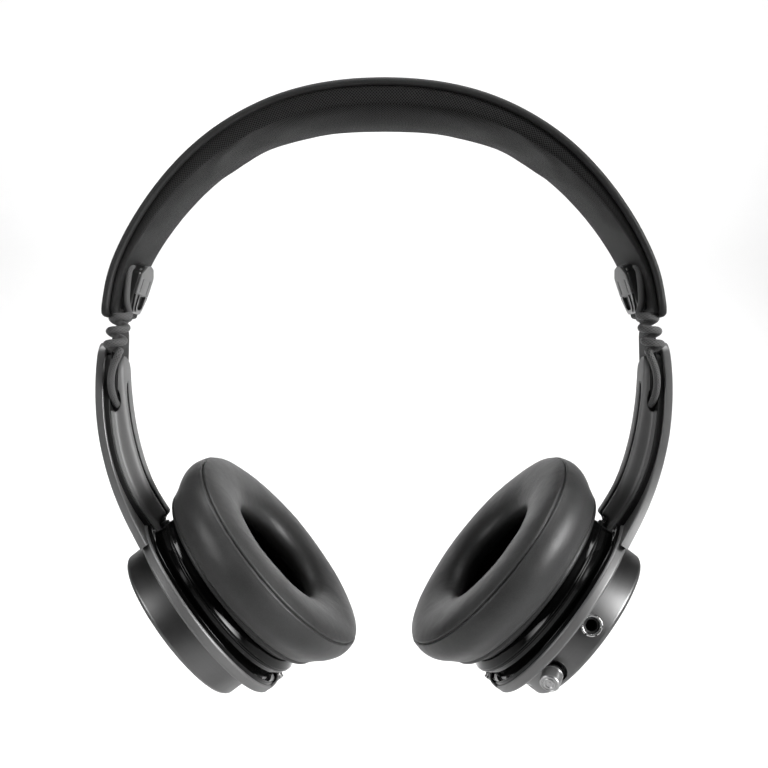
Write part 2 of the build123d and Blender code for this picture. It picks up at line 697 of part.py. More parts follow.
with BuildPart() as knob_stem:
    with BuildSketch(KNOB.offset(21.0)):
        Circle(1.7)
    extrude(amount=1.2)
    with BuildSketch(KNOB.offset(22.2)):
        Circle(1.0)
    extrude(amount=11.6)
    with BuildSketch(Plane(origin=KNOB.origin + KNOB.z_dir * 21.6, x_dir=KNOB.y_dir, z_dir=KNOB.x_dir)):
        Circle(0.4)
    extrude(amount=2.8, both=True)

with BuildPart() as knob_boot:
    with BuildSketch(KNOB.offset(24.7)):
        Circle(4.05)
        Circle(1.7, mode=Mode.SUBTRACT)
    extrude(amount=0.9)

with BuildPart() as knob_cap:
    with BuildSketch(KNOB.offset(27.0)):
        Circle(2.2)
    extrude(amount=1.4)
    with BuildSketch(KNOB.offset(28.4)):
        Circle(KNOB_R)
    extrude(amount=8.0)
    chamfer(knob_cap.edges().filter_by(GeomType.CIRCLE).sort_by(Axis(KNOB.origin, KNOB.z_dir))[-1], 0.4)
    with BuildSketch(KNOB.offset(26.0)):
        Circle(1.03)
    extrude(amount=8.7, mode=Mode.SUBTRACT)
    for size in (1.1, 2.0):
        with BuildSketch(KNOB.offset(36.15)):
            Circle(size + 0.2)
            Circle(size - 0.2, mode=Mode.SUBTRACT)
        extrude(amount=1, mode=Mode.SUBTRACT)


def save_mirrored(part, name):
    with BuildPart() as other:
        mirror(part, about=Plane.YZ)
    save(other.part, name)


with BuildPart() as housing_with_controls:
    add(outer_housing_l.part)
    add(jack_space.part, mode=Mode.SUBTRACT)
    add(knob_space.part, mode=Mode.SUBTRACT)
    add(port_space.part, mode=Mode.SUBTRACT)

with BuildPart() as plate_with_controls:
    add(housing_plate_l.part)
    add(jack_space.part, mode=Mode.SUBTRACT)
    add(knob_space.part, mode=Mode.SUBTRACT)

with BuildPart() as board_with_controls:
    add(circuit_board_l.part)
    add(jack_space.part, mode=Mode.SUBTRACT)
    add(knob_space.part, mode=Mode.SUBTRACT)

save(band_cover.part, "band_cover")
save(band_spring.part, "band_spring")
save(band_pad.part, "band_pad")
save_pair(slider_block_l.part, "slider_block")
save_pair(detent_plate_l.part, "detent_plate")
save_pair(block_screws_l.part, "block_screws")
save_pair(arm_shell_l.part, "arm_shell")
save_pair(arm_frame_l.part, "arm_frame")
save_pair(rail_cut_l.part, "arm_rail")
save_pair(strip_cut_l.part, "channel_strip")
save_pair(blade_cut_l.part, "slider_blade")
save_pair(blade_screws_l.part, "blade_screws")
save_pair(link_lead_l.part, "link_lead")
save_pair(housing_cap_l.part, "housing_cap")
save_pair(housing_screws_l.part, "housing_screws")
save_pair(pivot_pins_l.part, "pivot_pins")
save_pair(cup_shell_l.part, "cup_shell")
save_pair(cup_flange_l.part, "cup_flange")
save_pair(baffle_l.part, "baffle")
save_pair(driver_frame_l.part, "driver_frame")
save_pair(driver_magnet_l.part, "driver_magnet")
save_pair(diaphragm_l.part, "diaphragm")
save_pair(driver_cloth_l.part, "driver_cloth")
save_pair(ear_cushion_l.part, "ear_cushion")
save(outer_housing_l.part, "outer_housing_l")
save(housing_plate_l.part, "housing_plate_l")
save(circuit_board_l.part, "circuit_board_l")
save(battery_l.part, "battery_l")
save_mirrored(housing_with_controls.part, "outer_housing_r")
save_mirrored(plate_with_controls.part, "housing_plate_r")
save_mirrored(board_with_controls.part, "circuit_board_r")
save_mirrored(jack_socket.part, "jack_socket")
save_mirrored(jack_ring.part, "jack_ring")
save_mirrored(charge_port.part, "charge_port")
save_mirrored(switch_base.part, "switch_base")
save_mirrored(knob_gimbal.part, "knob_gimbal")
save_mirrored(knob_stem.part, "knob_stem")
save_mirrored(knob_boot.part, "knob_boot")
save_mirrored(knob_cap.part, "knob_cap")
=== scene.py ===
import math

import bmesh
import bpy
import numpy as np
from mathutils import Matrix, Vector


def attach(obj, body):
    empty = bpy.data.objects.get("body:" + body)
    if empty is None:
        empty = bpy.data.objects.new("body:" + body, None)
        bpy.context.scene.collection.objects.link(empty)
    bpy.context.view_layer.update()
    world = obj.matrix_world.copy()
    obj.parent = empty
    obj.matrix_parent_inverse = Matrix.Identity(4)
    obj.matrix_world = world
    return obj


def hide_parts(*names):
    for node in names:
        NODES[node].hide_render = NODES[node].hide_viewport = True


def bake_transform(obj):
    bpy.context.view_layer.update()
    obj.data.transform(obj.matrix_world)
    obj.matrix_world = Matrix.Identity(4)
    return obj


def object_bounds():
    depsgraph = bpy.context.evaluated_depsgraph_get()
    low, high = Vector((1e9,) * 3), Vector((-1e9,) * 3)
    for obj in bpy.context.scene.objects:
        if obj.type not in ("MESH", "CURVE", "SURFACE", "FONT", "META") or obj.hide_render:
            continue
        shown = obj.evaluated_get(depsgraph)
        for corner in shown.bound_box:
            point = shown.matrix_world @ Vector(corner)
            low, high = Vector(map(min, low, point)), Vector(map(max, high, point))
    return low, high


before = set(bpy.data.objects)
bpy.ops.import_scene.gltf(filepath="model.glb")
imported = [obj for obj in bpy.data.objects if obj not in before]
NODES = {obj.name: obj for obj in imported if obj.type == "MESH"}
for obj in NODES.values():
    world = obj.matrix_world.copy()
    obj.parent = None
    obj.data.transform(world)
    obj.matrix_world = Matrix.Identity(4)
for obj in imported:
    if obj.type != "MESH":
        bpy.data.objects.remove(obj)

CAD_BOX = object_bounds()
SCENE = bpy.context.scene

# Lengths are in mm here and become metres when a mesh or a curve is made. Heights in the lists are measured
# from the object's mid height, as in the CAD source; CROWN moves them to the origin on the wearer's head.
CROWN = 84.3
TILT = math.radians(37.0)
SWIVEL = math.radians(4.4)
N = np.array([math.cos(TILT), 0.0, math.sin(TILT)])
T = np.array([math.sin(TILT), 0.0, -math.cos(TILT)])
X = np.array([1.0, 0.0, 0.0])
Y = np.array([0.0, 1.0, 0.0])
HUB = np.array([-66.75, 0.0, -78.7 - CROWN])
PIVOT = HUB + N * 15.6
N2 = N * math.cos(SWIVEL) - Y * math.sin(SWIVEL)
Y2 = Y * math.cos(SWIVEL) + N * math.sin(SWIVEL)
HUB2 = PIVOT - N2 * 15.6
LEAN = math.radians(18.0)
UP = np.array([math.sin(LEAN), 0.0, math.cos(LEAN)])
IN = np.array([math.cos(LEAN), 0.0, -math.sin(LEAN)])
SLIDE = np.array([-84.9, 0.0, 22.0 - CROWN])
SIDES = {"l": 1.0, "r": -1.0}
# corners nearer than this, in metres, are one
WELD = 4e-6


# ---------------------------------------------------------------- lines
def smooth_line(points, count):
    """Evenly spaced points on the natural cubic spline through the given points."""
    p = np.array(points, float)
    t = np.concatenate([[0], np.cumsum(np.linalg.norm(np.diff(p, axis=0), axis=1))])
    h = np.diff(t)
    n = len(p)
    a = np.eye(n)
    b = np.zeros_like(p)
    for i in range(1, n - 1):
        a[i, i - 1:i + 2] = h[i - 1], 2 * (h[i - 1] + h[i]), h[i]
        b[i] = 6 * ((p[i + 1] - p[i]) / h[i] - (p[i] - p[i - 1]) / h[i - 1])
    m = np.linalg.solve(a, b)

    def at(u):
        k = np.clip(np.searchsorted(t, u) - 1, 0, n - 2)
        d = (u - t[k])[:, None]
        e = (t[k + 1] - u)[:, None]
        hk = h[k][:, None]
        return (m[k] * e ** 3 + m[k + 1] * d ** 3) / (6 * hk) + (p[k] / hk - m[k] * hk / 6) * e \
            + (p[k + 1] / hk - m[k + 1] * hk / 6) * d

    fine = at(np.linspace(0, t[-1], 1200))
    s = np.concatenate([[0], np.cumsum(np.linalg.norm(np.diff(fine, axis=0), axis=1))])
    if np.isscalar(count):
        want = np.linspace(0, s[-1], count)
    else:
        want = np.asarray(count) * s[-1]
    return np.stack([np.interp(want, s, fine[:, k]) for k in range(p.shape[1])], axis=1)


def length_of(line):
    return float(np.linalg.norm(np.diff(line, axis=0), axis=1).sum())


def side_of(line):
    """Unit vectors across a line in the x-z plane, to the right of its direction."""
    d = np.gradient(line, axis=0)
    d /= np.linalg.norm(d, axis=1)[:, None]
    return np.stack([d[:, 1], -d[:, 0]], axis=1)


def bend(corner, start, end, steps):
    """Points on the curve that rounds a corner, from start to end."""
    t = np.linspace(0, 1, steps + 1)[:, None]
    return start * (1 - t) ** 2 + corner * 2 * t * (1 - t) + end * t ** 2


def rounded(points, radii):
    """An open outline with its corners rounded."""
    p = np.array(points, float)
    cuts = np.broadcast_to(radii, len(p) - 2)
    out = [p[:1]]
    for i in range(1, len(p) - 1):
        a, b = p[i - 1] - p[i], p[i + 1] - p[i]
        la, lb = np.linalg.norm(a), np.linalg.norm(b)
        cut = min(cuts[i - 1], la * 0.48, lb * 0.48)
        out.append(bend(p[i], p[i] + a / la * cut, p[i] + b / lb * cut, 5))
    return np.concatenate(out + [p[-1:]])


def round_outline(points, radii, steps=6):
    """A closed outline with its corners rounded."""
    p = np.array(points, float)
    radii = np.broadcast_to(radii, len(p))
    out = []
    for i in range(len(p)):
        a, b = p[i - 1] - p[i], p[(i + 1) % len(p)] - p[i]
        la, lb = np.linalg.norm(a), np.linalg.norm(b)
        half = math.acos(max(-1, min(1, a @ b / la / lb))) / 2
        cut = min(radii[i] / max(math.tan(half), 0.01), la * 0.48, lb * 0.48)
        out.append(bend(p[i], p[i] + a / la * cut, p[i] + b / lb * cut, steps))
    return np.concatenate(out)


def circle(cx, cy, r, count=20):
    a = np.linspace(0, 2 * math.pi, count, endpoint=False)
    return np.stack([cx + r * np.cos(a), cy + r * np.sin(a)], 1)


def stadium(long, wide, count):
    """A slot's outline, its long way along the first axis."""
    r = wide / 2
    k = long / 2 - r
    a = np.radians(np.linspace(-90, 90, count))
    end = np.stack([k + r * np.cos(a), r * np.sin(a)], 1)
    return np.concatenate([end, -end])


def rounded_box_ring(half_w, half_t, r):
    ring = []
    for k, (x, y) in enumerate(((1, 1), (-1, 1), (-1, -1), (1, -1))):
        a = np.radians(np.linspace(k * 90, k * 90 + 90, 5))
        ring.append(np.stack([x * (half_w - r) + r * np.cos(a), y * (half_t - r) + r * np.sin(a)], 1))
    return np.concatenate(ring)


def quarter(t):
    """Height of a quarter circle that rises from 0 at t = 0 to 1 at t = 1."""
    return math.sqrt(max(1 - (1 - min(t, 1)) ** 2, 0))


# ---------------------------------------------------------------- meshes
def put(name, data):
    obj = bpy.data.objects.new(name, data)
    SCENE.collection.objects.link(obj)
    return obj


def evaluated(obj):
    """A new mesh of the object as it stands, with its modifiers applied."""
    bpy.context.view_layer.update()
    return bpy.data.meshes.new_from_object(obj.evaluated_get(bpy.context.evaluated_depsgraph_get()))


def add_piece(name, mesh, body, material, stands_for=None):
    """One visible piece, which rides on its body and takes the place of its CAD node."""
    mesh.name = name
    mesh.materials.clear()
    mesh.materials.append(material)
    obj = put(name, mesh)
    if body:
        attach(obj, body)
    if stands_for:
        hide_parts(stands_for)
    return obj


class Piece:
    """Collects faces in mm and makes one mesh of them."""

    def __init__(self):
        self.verts = []
        self.faces = []
        self.uvs = []
        self.count = 0

    def add_face(self, corners, uv, flip=False):
        self.faces.append(corners[::-1] if flip else corners)
        self.uvs.append(uv[::-1] if flip else uv)

    def grid(self, points, close_u=False, close_v=False, uv=None):
        """Faces between points, a (rows, columns, 3) array; u runs from row to row and v along a row."""
        g = np.asarray(points, float)
        nu, nv = g.shape[:2]
        base = self.count
        self.verts.append(g.reshape(-1, 3))
        self.count += nu * nv
        if uv is None:
            du = np.concatenate([[0], np.cumsum(np.linalg.norm(np.diff(g, axis=0), axis=2).mean(1))])
            dv = np.concatenate([[0], np.cumsum(np.linalg.norm(np.diff(g, axis=1), axis=2).mean(0))])
            us = np.append(du, du[-1] + np.linalg.norm(g[0] - g[-1], axis=1).mean())
            vs = np.append(dv, dv[-1] + np.linalg.norm(g[:, 0] - g[:, -1], axis=1).mean())
        else:
            us, vs = uv
        for i in range(nu if close_u else nu - 1):
            i2 = (i + 1) % nu
            for j in range(nv if close_v else nv - 1):
                j2 = (j + 1) % nv
                near, far = base + i * nv, base + i2 * nv
                self.add_face([near + j, far + j, far + j2, near + j2],
                              [(us[p], vs[q]) for p, q in ((i, j), (i + 1, j), (i + 1, j + 1), (i, j + 1))])
        return self

    def fan(self, ring, flip=False):
        """A flat face over a closed ring, with its own corners."""
        r = np.asarray(ring, float)
        c = r.mean(0)
        self.verts.append(r)
        self.add_face(list(range(self.count, self.count + len(r))),
                      [(float(p[0] - c[0] + p[1]), float(p[2] - c[2] + p[1] * 0.3)) for p in r], flip)
        self.count += len(r)
        return self

    def merge(self, other):
        self.verts += other.verts
        self.faces += [[i + self.count for i in f] for f in other.faces]
        self.uvs += other.uvs
        self.count += other.count
        return self

    def mesh(self, side=1.0, sharp=32.0, outward=True):
        """The mesh in metres, mirrored for the right side, with doubled corners welded."""
        v = np.concatenate(self.verts) * 0.001
        v[:, 0] *= side
        turn = 1 if side > 0 else -1
        m = bpy.data.meshes.new("piece")
        m.from_pydata(v.tolist(), [], [f[::turn] for f in self.faces])
        layer = m.uv_layers.new(name="lengths")
        layer.data.foreach_set("uv", np.array([c for q in self.uvs for c in q[::turn]], np.float32).ravel())
        b = bmesh.new()
        b.from_mesh(m)
        bmesh.ops.remove_doubles(b, verts=b.verts, dist=WELD)
        bmesh.ops.dissolve_degenerate(b, edges=b.edges, dist=1e-7)
        bmesh.ops.delete(b, geom=[x for x in b.verts if not x.link_faces], context="VERTS")
        if outward:
            bmesh.ops.recalc_face_normals(b, faces=b.faces)
        b.to_mesh(m)
        b.free()
        m.shade_smooth()
        m.set_sharp_from_angle(angle=math.radians(sharp))
        m.validate()
        return m


def skin(rows, first=True, last=True):
    """A piece whose rows are closed rings, with a flat face over its first and its last ring."""
    rows = np.asarray(rows, float)
    piece = Piece().grid(rows, close_v=True)
    if first:
        piece.fan(rows[0])
    if last:
        piece.fan(rows[-1], flip=True)
    return piece


def lathe(profile, origin, axis, x_dir, segments):
    """Revolve an outline of (radius, height) about an axis."""
    pr = np.asarray(profile, float)
    ang = np.radians(np.linspace(0, 360, segments + 1))
    rays = np.cos(ang[:-1])[:, None] * x_dir + np.sin(ang[:-1])[:, None] * np.cross(axis, x_dir)
    g = origin + pr[None, :, 0, None] * rays[:, None, :] + pr[None, :, 1, None] * axis
    ds = np.concatenate([[0], np.cumsum(np.linalg.norm(np.diff(pr, axis=0), axis=1))])
    return Piece().grid(g, close_u=True, uv=(ang * max(pr[:, 0].max(), 1.0), np.append(ds, ds[-1])))


def tube(path, radius, sides):
    """A round tube along a line, its frame carried along without twist."""
    p = np.asarray(path, float)
    d = np.gradient(p, axis=0)
    d /= np.linalg.norm(d, axis=1)[:, None]
    a = np.cross(d[0], [0.31, 0.95, 0.1])
    a /= np.linalg.norm(a)
    ring = radius * circle(0, 0, 1, sides)
    rows = []
    for k in range(len(p)):
        a = a - d[k] * (a @ d[k])
        a /= np.linalg.norm(a)
        rows.append(p[k] + ring[:, 0:1] * a + ring[:, 1:2] * np.cross(d[k], a))
    return skin(rows)


def plate(outline, holes, thickness, origin, x_dir, y_dir, bevel, steps=3):
    """A flat plate with holes and rounded edges, its thickness centred on the origin."""
    curve = bpy.data.curves.new("plate", "CURVE")
    curve.dimensions = "2D"
    curve.fill_mode = "BOTH"
    curve.extrude = (thickness / 2 - bevel) * 0.001
    curve.bevel_depth = bevel * 0.001
    curve.bevel_resolution = steps
    curve.offset = -bevel * 0.001
    for ring in [outline] + list(holes):
        s = curve.splines.new("POLY")
        s.points.add(len(ring) - 1)
        for k, q in enumerate(ring):
            s.points[k].co = (q[0] * 0.001, q[1] * 0.001, 0, 1)
        s.use_cyclic_u = True
    obj = put("plate", curve)
    made = evaluated(obj)
    bpy.data.objects.remove(obj)
    bpy.data.curves.remove(curve)
    v = np.array([q.co for q in made.vertices]) * 1000
    piece = Piece()
    piece.verts.append(origin + v[:, 0:1] * x_dir + v[:, 1:2] * y_dir + v[:, 2:3] * np.cross(x_dir, y_dir))
    piece.count = len(v)
    for f in made.polygons:
        piece.add_face(list(f.vertices), [(float(v[i][0]), float(v[i][1] + v[i][2])) for i in f.vertices])
    bpy.data.meshes.remove(made)
    return piece


def cut_away(mesh, tools):
    """The mesh less each tool mesh, by exact booleans."""
    obj = put("cut", mesh)
    for tool in tools:
        other = put("tool", tool)
        mod = obj.modifiers.new("cut", "BOOLEAN")
        mod.operation = "DIFFERENCE"
        mod.solver = "EXACT"
        mod.object = other
        made = evaluated(obj)
        obj.modifiers.clear()
        obj.data = made
        bpy.data.objects.remove(other)
    bpy.data.objects.remove(obj)
    made.shade_smooth()
    made.set_sharp_from_angle(angle=math.radians(32))
    return made


def prism(outline, origin, x_dir, y_dir, low, high, side):
    """A closed prism over an outline, from height low to high."""
    ring = origin + outline[:, 0:1] * x_dir + outline[:, 1:2] * y_dir
    z_dir = np.cross(x_dir, y_dir)
    return skin([ring + z_dir * low, ring + z_dir * high]).mesh(side)


# ---------------------------------------------------------------- finishes
class Finish:
    """One procedural material, built node by node."""

    def __init__(self, name, metallic=0.0, ior=1.5, coat=0.0, coat_roughness=0.1, sheen=0.0, anisotropic=0.0):
        self.material = bpy.data.materials.new(name)
        self.material.use_nodes = True
        self.tree = self.material.node_tree
        self.shader = self.tree.nodes["Principled BSDF"]
        for socket, value in (("Metallic", metallic), ("IOR", ior), ("Coat Weight", coat),
                              ("Coat Roughness", coat_roughness), ("Sheen Weight", sheen),
                              ("Anisotropic", anisotropic)):
            self.shader.inputs[socket].default_value = value
        self.coords = self.tree.nodes.new("ShaderNodeTexCoord")

    def node(self, kind, **inputs):
        n = self.tree.nodes.new(kind)
        for key, value in inputs.items():
            n.inputs[key.replace("_", " ")].default_value = value
        return n

    def link(self, a, b):
        self.tree.links.new(a, b)

    def place(self, scale=(1, 1, 1), uv=False):
        m = self.node("ShaderNodeMapping")
        m.inputs["Scale"].default_value = scale
        self.link(self.coords.outputs["UV" if uv else "Object"], m.inputs["Vector"])
        return m.outputs["Vector"]

    def noise(self, scale, detail, rough, stretch=(1, 1, 1), uv=False):
        n = self.node("ShaderNodeTexNoise", Scale=scale, Detail=detail, Roughness=rough)
        self.link(self.place(stretch, uv), n.inputs["Vector"])
        return n.outputs["Fac"]

    def cells(self, scale, feature="DISTANCE_TO_EDGE"):
        n = self.node("ShaderNodeTexVoronoi", Scale=scale)
        n.feature = feature
        self.link(self.place(), n.inputs["Vector"])
        return n.outputs["Distance"]

    def axes(self, scale=(1, 1, 1), uv=True):
        """The separate coordinates, along the skin in mm or in space."""
        n = self.node("ShaderNodeSeparateXYZ")
        self.link(self.place(scale, uv), n.inputs[0])
        return n.outputs

    def math(self, operation, a, b=None):
        n = self.node("ShaderNodeMath")
        n.operation = operation
        for socket, value in zip(n.inputs, (a, b)):
            if isinstance(value, (int, float)):
                socket.default_value = value
            elif value is not None:
                self.link(value, socket)
        return n.outputs[0]

    def mix(self, a, share_a, b, share_b):
        """The two values added up, each in its share."""
        a = a if share_a == 1 else self.math("MULTIPLY", a, share_a)
        return self.math("ADD", a, self.math("MULTIPLY", b, share_b))

    def wave(self, kind, value, pitch):
        return self.math(kind, self.math("MULTIPLY", value, 2 * math.pi / pitch))

    def remap(self, value, low, high, to_low=0.0, to_high=1.0, smooth=False):
        n = self.node("ShaderNodeMapRange")
        n.interpolation_type = "SMOOTHSTEP" if smooth else "LINEAR"
        self.link(value, n.inputs["Value"])
        for key, v in (("From Min", low), ("From Max", high), ("To Min", to_low), ("To Max", to_high)):
            n.inputs[key].default_value = v
        return n.outputs["Result"]

    def colour(self, value, *stops):
        n = self.node("ShaderNodeValToRGB")
        while len(n.color_ramp.elements) < len(stops):
            n.color_ramp.elements.new(0.5)
        for e, (at, grey) in zip(n.color_ramp.elements, stops):
            e.position = at
            e.color = (*(grey if isinstance(grey, tuple) else (grey, grey, grey)), 1)
        self.link(value, n.inputs["Fac"])
        self.link(n.outputs["Color"], self.shader.inputs["Base Color"])

    def roughness(self, value, low, high):
        """Spread the middle of a noise's range over the finish's own range of roughness."""
        self.link(self.remap(value, 0.3, 0.7, low, high), self.shader.inputs["Roughness"])

    def bump(self, value, height_mm):
        n = self.node("ShaderNodeBump", Strength=1.0, Distance=height_mm * 0.001)
        self.link(value, n.inputs["Height"])
        self.link(n.outputs["Normal"], self.shader.inputs["Normal"])


def leather(name, dark, light, cell, depth, rough, sheen=0.0):
    """Smooth coated leather: fine pebble, soft mottling, and a little wear where the grain is proud."""
    f = Finish(name, ior=1.46, sheen=sheen)
    f.shader.inputs["Sheen Roughness"].default_value = 0.4
    pebble = f.cells(1000 / cell)
    crease = f.noise(170, 6, 0.6)
    mottle = f.noise(45, 4, 0.6)
    proud = f.remap(pebble, 0.0, 0.35, smooth=True)
    f.colour(f.mix(mottle, 0.75, proud, 0.2), (0.28, dark), (0.72, light))
    f.roughness(f.mix(crease, 0.6, mottle, 0.4), *rough)
    f.bump(f.mix(proud, 0.6, crease, 0.9), depth)
    return f.material


def moulded(name, dark, light, rough, grain=0.35, depth=0.012, coat=0.0, ior=1.5):
    """Moulded or painted surface: spark-eroded grain, faint flow and handling marks."""
    f = Finish(name, coat=coat, coat_roughness=0.08, ior=ior)
    fine = f.noise(1000 / grain, 3, 0.6)
    broad = f.noise(60, 5, 0.6)
    f.colour(broad, (0.3, dark), (0.7, light))
    f.roughness(f.mix(fine, 0.5, broad, 0.5), *rough)
    f.bump(fine, depth)
    return f.material


def turned(name, dark, light, rough, anisotropic=0.0):
    """Metal with fine tool lines that run along the first direction of its own measured skin."""
    f = Finish(name, metallic=1.0, anisotropic=anisotropic)
    lines = f.noise(1.0, 3, 0.7, (0.024, 7.2, 1.0), uv=True)
    broad = f.noise(40, 4, 0.6)
    f.colour(f.mix(broad, 0.6, lines, 0.4), (0.3, dark), (0.7, light))
    f.roughness(f.mix(lines, 0.6, broad, 0.4), *rough)
    f.bump(lines, 0.006)
    return f.material


def blasted(name, dark, light, rough, metallic, ior=1.5):
    """Bead-blasted and anodised metal: a fine even sparkle with faint handling marks."""
    f = Finish(name, metallic=metallic, ior=ior)
    fine = f.noise(4200, 3, 0.7)
    broad = f.noise(55, 5, 0.62)
    f.colour(f.mix(broad, 0.7, fine, 0.3), (0.3, dark), (0.7, light))
    f.roughness(f.mix(broad, 0.55, fine, 0.45), *rough)
    f.bump(fine, 0.01)
    return f.material


# mm from one thread to the next
KNIT_PITCH = 1.0
WEAVE_PITCH = 0.34


def spacer_mesh(name, thread, shade):
    """Knitted spacer mesh: staggered open holes between rounded threads, the holes coloured near black as
    painted shade.
    """
    f = Finish(name, ior=1.33, sheen=0.02)
    f.shader.inputs["Sheen Roughness"].default_value = 0.5
    wobble = f.noise(0.35, 2, 0.5, uv=True)
    along, across, _ = f.axes()
    shift = f.math("MULTIPLY", f.math("SUBTRACT", wobble, 0.5), 0.5)
    rows, columns = (f.wave("COSINE", f.math("ADD", axis, shift), KNIT_PITCH) for axis in (along, across))
    lattice = f.math("MULTIPLY", rows, columns)
    hole = f.remap(lattice, -0.12, 0.25, smooth=True)
    yarn = f.noise(2600, 3, 0.6)
    lit = f.math("SUBTRACT", f.mix(0.72, 1, yarn, 0.35), hole)
    # the holes take the near-black shade colour: painted shade inside the openings, not a dye
    f.colour(lit, (0.0, shade), (0.28, shade * 1.6), (0.9, thread))
    f.link(f.remap(hole, 0.0, 1.0, 0.62, 0.95), f.shader.inputs["Roughness"])
    f.bump(f.mix(f.math("SUBTRACT", 1.0, hole), 1, yarn, 0.25), 0.3)
    return f.material


def braid(name, dark, light, pitch=0.9, depth=0.1):
    """Braided sleeve over a thin lead: crossing helical yarns, measured along and round the tube."""
    f = Finish(name, ior=1.45, sheen=0.15)
    along, around, _ = f.axes()
    a, b = (f.wave("SINE", f.math(operation, along, around), pitch) for operation in ("ADD", "SUBTRACT"))
    over = f.math("MAXIMUM", a, b)
    yarn = f.noise(2400, 3, 0.6)
    lit = f.mix(f.remap(over, -0.6, 1.0), 1, yarn, 0.25)
    f.colour(lit, (0.25, dark), (1.0, light))
    f.roughness(yarn, 0.5, 0.66)
    f.bump(lit, depth)
    return f.material


def woven(name, dark, light):
    """Fine plain weave stretched over the driver."""
    f = Finish(name, ior=1.42, sheen=0.2)
    x, y, z = f.axes((1000, 1000, 1000), uv=False)
    warp, weft = (f.wave("SINE", v, WEAVE_PITCH) for v in (y, f.math("ADD", x, z)))
    weave = f.math("MULTIPLY", warp, weft)
    slub = f.noise(500, 4, 0.6)
    lit = f.mix(f.remap(weave, -1.0, 1.0), 1, slub, 0.4)
    f.colour(lit, (0.2, dark), (1.2, light))
    f.roughness(slub, 0.7, 0.9)
    f.bump(lit, 0.05)
    return f.material


def board(name):
    """Solder mask over copper, in rectangles of slightly different green."""
    f = Finish(name, coat=0.3)
    patches = f.cells(320, feature="F1")
    n = f.noise(900, 2, 0.5)
    f.colour(f.mix(patches, 1, n, 0.3), (0.2, (0.006, 0.05, 0.02)), (0.55, (0.012, 0.11, 0.04)),
             (0.95, (0.35, 0.24, 0.06)))
    f.roughness(n, 0.25, 0.45)
    f.bump(patches, 0.03)
    return f.material


COVER = leather("cover_leather", 0.012, 0.022, cell=0.6, depth=0.06, rough=(0.5, 0.66))
PILLOW = leather("cushion_leather", 0.03, 0.052, cell=0.5, depth=0.02, rough=(0.36, 0.48), sheen=0.04)
FLANGE = leather("flange_leather", 0.008, 0.014, cell=0.5, depth=0.02, rough=(0.42, 0.55))
THREAD = braid("sewing_thread", 0.01, 0.03, pitch=0.3, depth=0.03)
MESH = spacer_mesh("pad_mesh_knit", 0.026, 0.0005)
LEAD = braid("lead_braid", 0.03, 0.11)
SHELL = blasted("arm_anodised", 0.16, 0.21, rough=(0.4, 0.5), metallic=0.55)
RAIL = blasted("rail_anodised", 0.17, 0.22, rough=(0.5, 0.6), metallic=0.25, ior=1.25)
STRIP = moulded("strip_rubber", 0.005, 0.009, rough=(0.5, 0.62))
GLOSS = moulded("piano_black", 0.002, 0.004, rough=(0.08, 0.13), grain=1.2, depth=0.002, ior=1.33)
HOUSING = turned("housing_turned", 0.15, 0.2, rough=(0.34, 0.44), anisotropic=0.3)
CAP = turned("cap_satin_turned", 0.13, 0.18, rough=(0.3, 0.42))
BLOCK = moulded("block_nylon", 0.008, 0.015, rough=(0.32, 0.44), coat=0.15)
PLATE = blasted("plate_satin_metal", 0.16, 0.2, rough=(0.45, 0.55), metallic=0.3, ior=1.2)
BLADE = blasted("blade_blackened", 0.008, 0.014, rough=(0.5, 0.6), metallic=0.0, ior=1.14)
STEEL = turned("screw_steel_turned", 0.45, 0.58, rough=(0.22, 0.34))
SPRING = turned("spring_steel_rolled", 0.32, 0.42, rough=(0.3, 0.42))
LUG = turned("lug_polished_steel", 0.2, 0.28, rough=(0.34, 0.44))
CHROME = turned("ring_chrome_turned", 0.75, 0.85, rough=(0.2, 0.3))
KNOB_METAL = turned("knob_turned_metal", 0.42, 0.54, rough=(0.34, 0.46))
DARK_METAL = turned("magnet_nickel", 0.3, 0.38, rough=(0.25, 0.38))
RUBBER = moulded("boot_silicone", 0.006, 0.011, rough=(0.55, 0.7))
PLASTIC = moulded("inner_plastic", 0.012, 0.02, rough=(0.4, 0.55))
BAFFLE = moulded("baffle_satin", 0.006, 0.01, rough=(0.28, 0.4))
CLOTH = woven("driver_weave", 0.02, 0.05)
FILM = moulded("diaphragm_film", 0.16, 0.24, rough=(0.2, 0.35), coat=0.4)
WRAP = moulded("battery_wrap", 0.3, 0.42, rough=(0.35, 0.5), coat=0.3)
BOARD = board("solder_mask")

KEPT = {"band_spring": SPRING, "battery_l": WRAP, "switch_base": PLASTIC, "knob_gimbal": PLASTIC}
for both, finish in (("housing_plate", PLASTIC), ("housing_screws", STEEL), ("circuit_board", BOARD),
                     ("pivot_pins", STEEL), ("driver_frame", PLASTIC), ("driver_magnet", DARK_METAL),
                     ("diaphragm", FILM)):
    KEPT.update({both + "_" + key: finish for key in SIDES})
for node_name, finish in KEPT.items():
    for node_slot in NODES[node_name].material_slots:
        node_slot.material = finish


# ---------------------------------------------------------------- link leads
LEAD_D = 2.3
COIL_R = 2.652
COIL_TURNS = 3


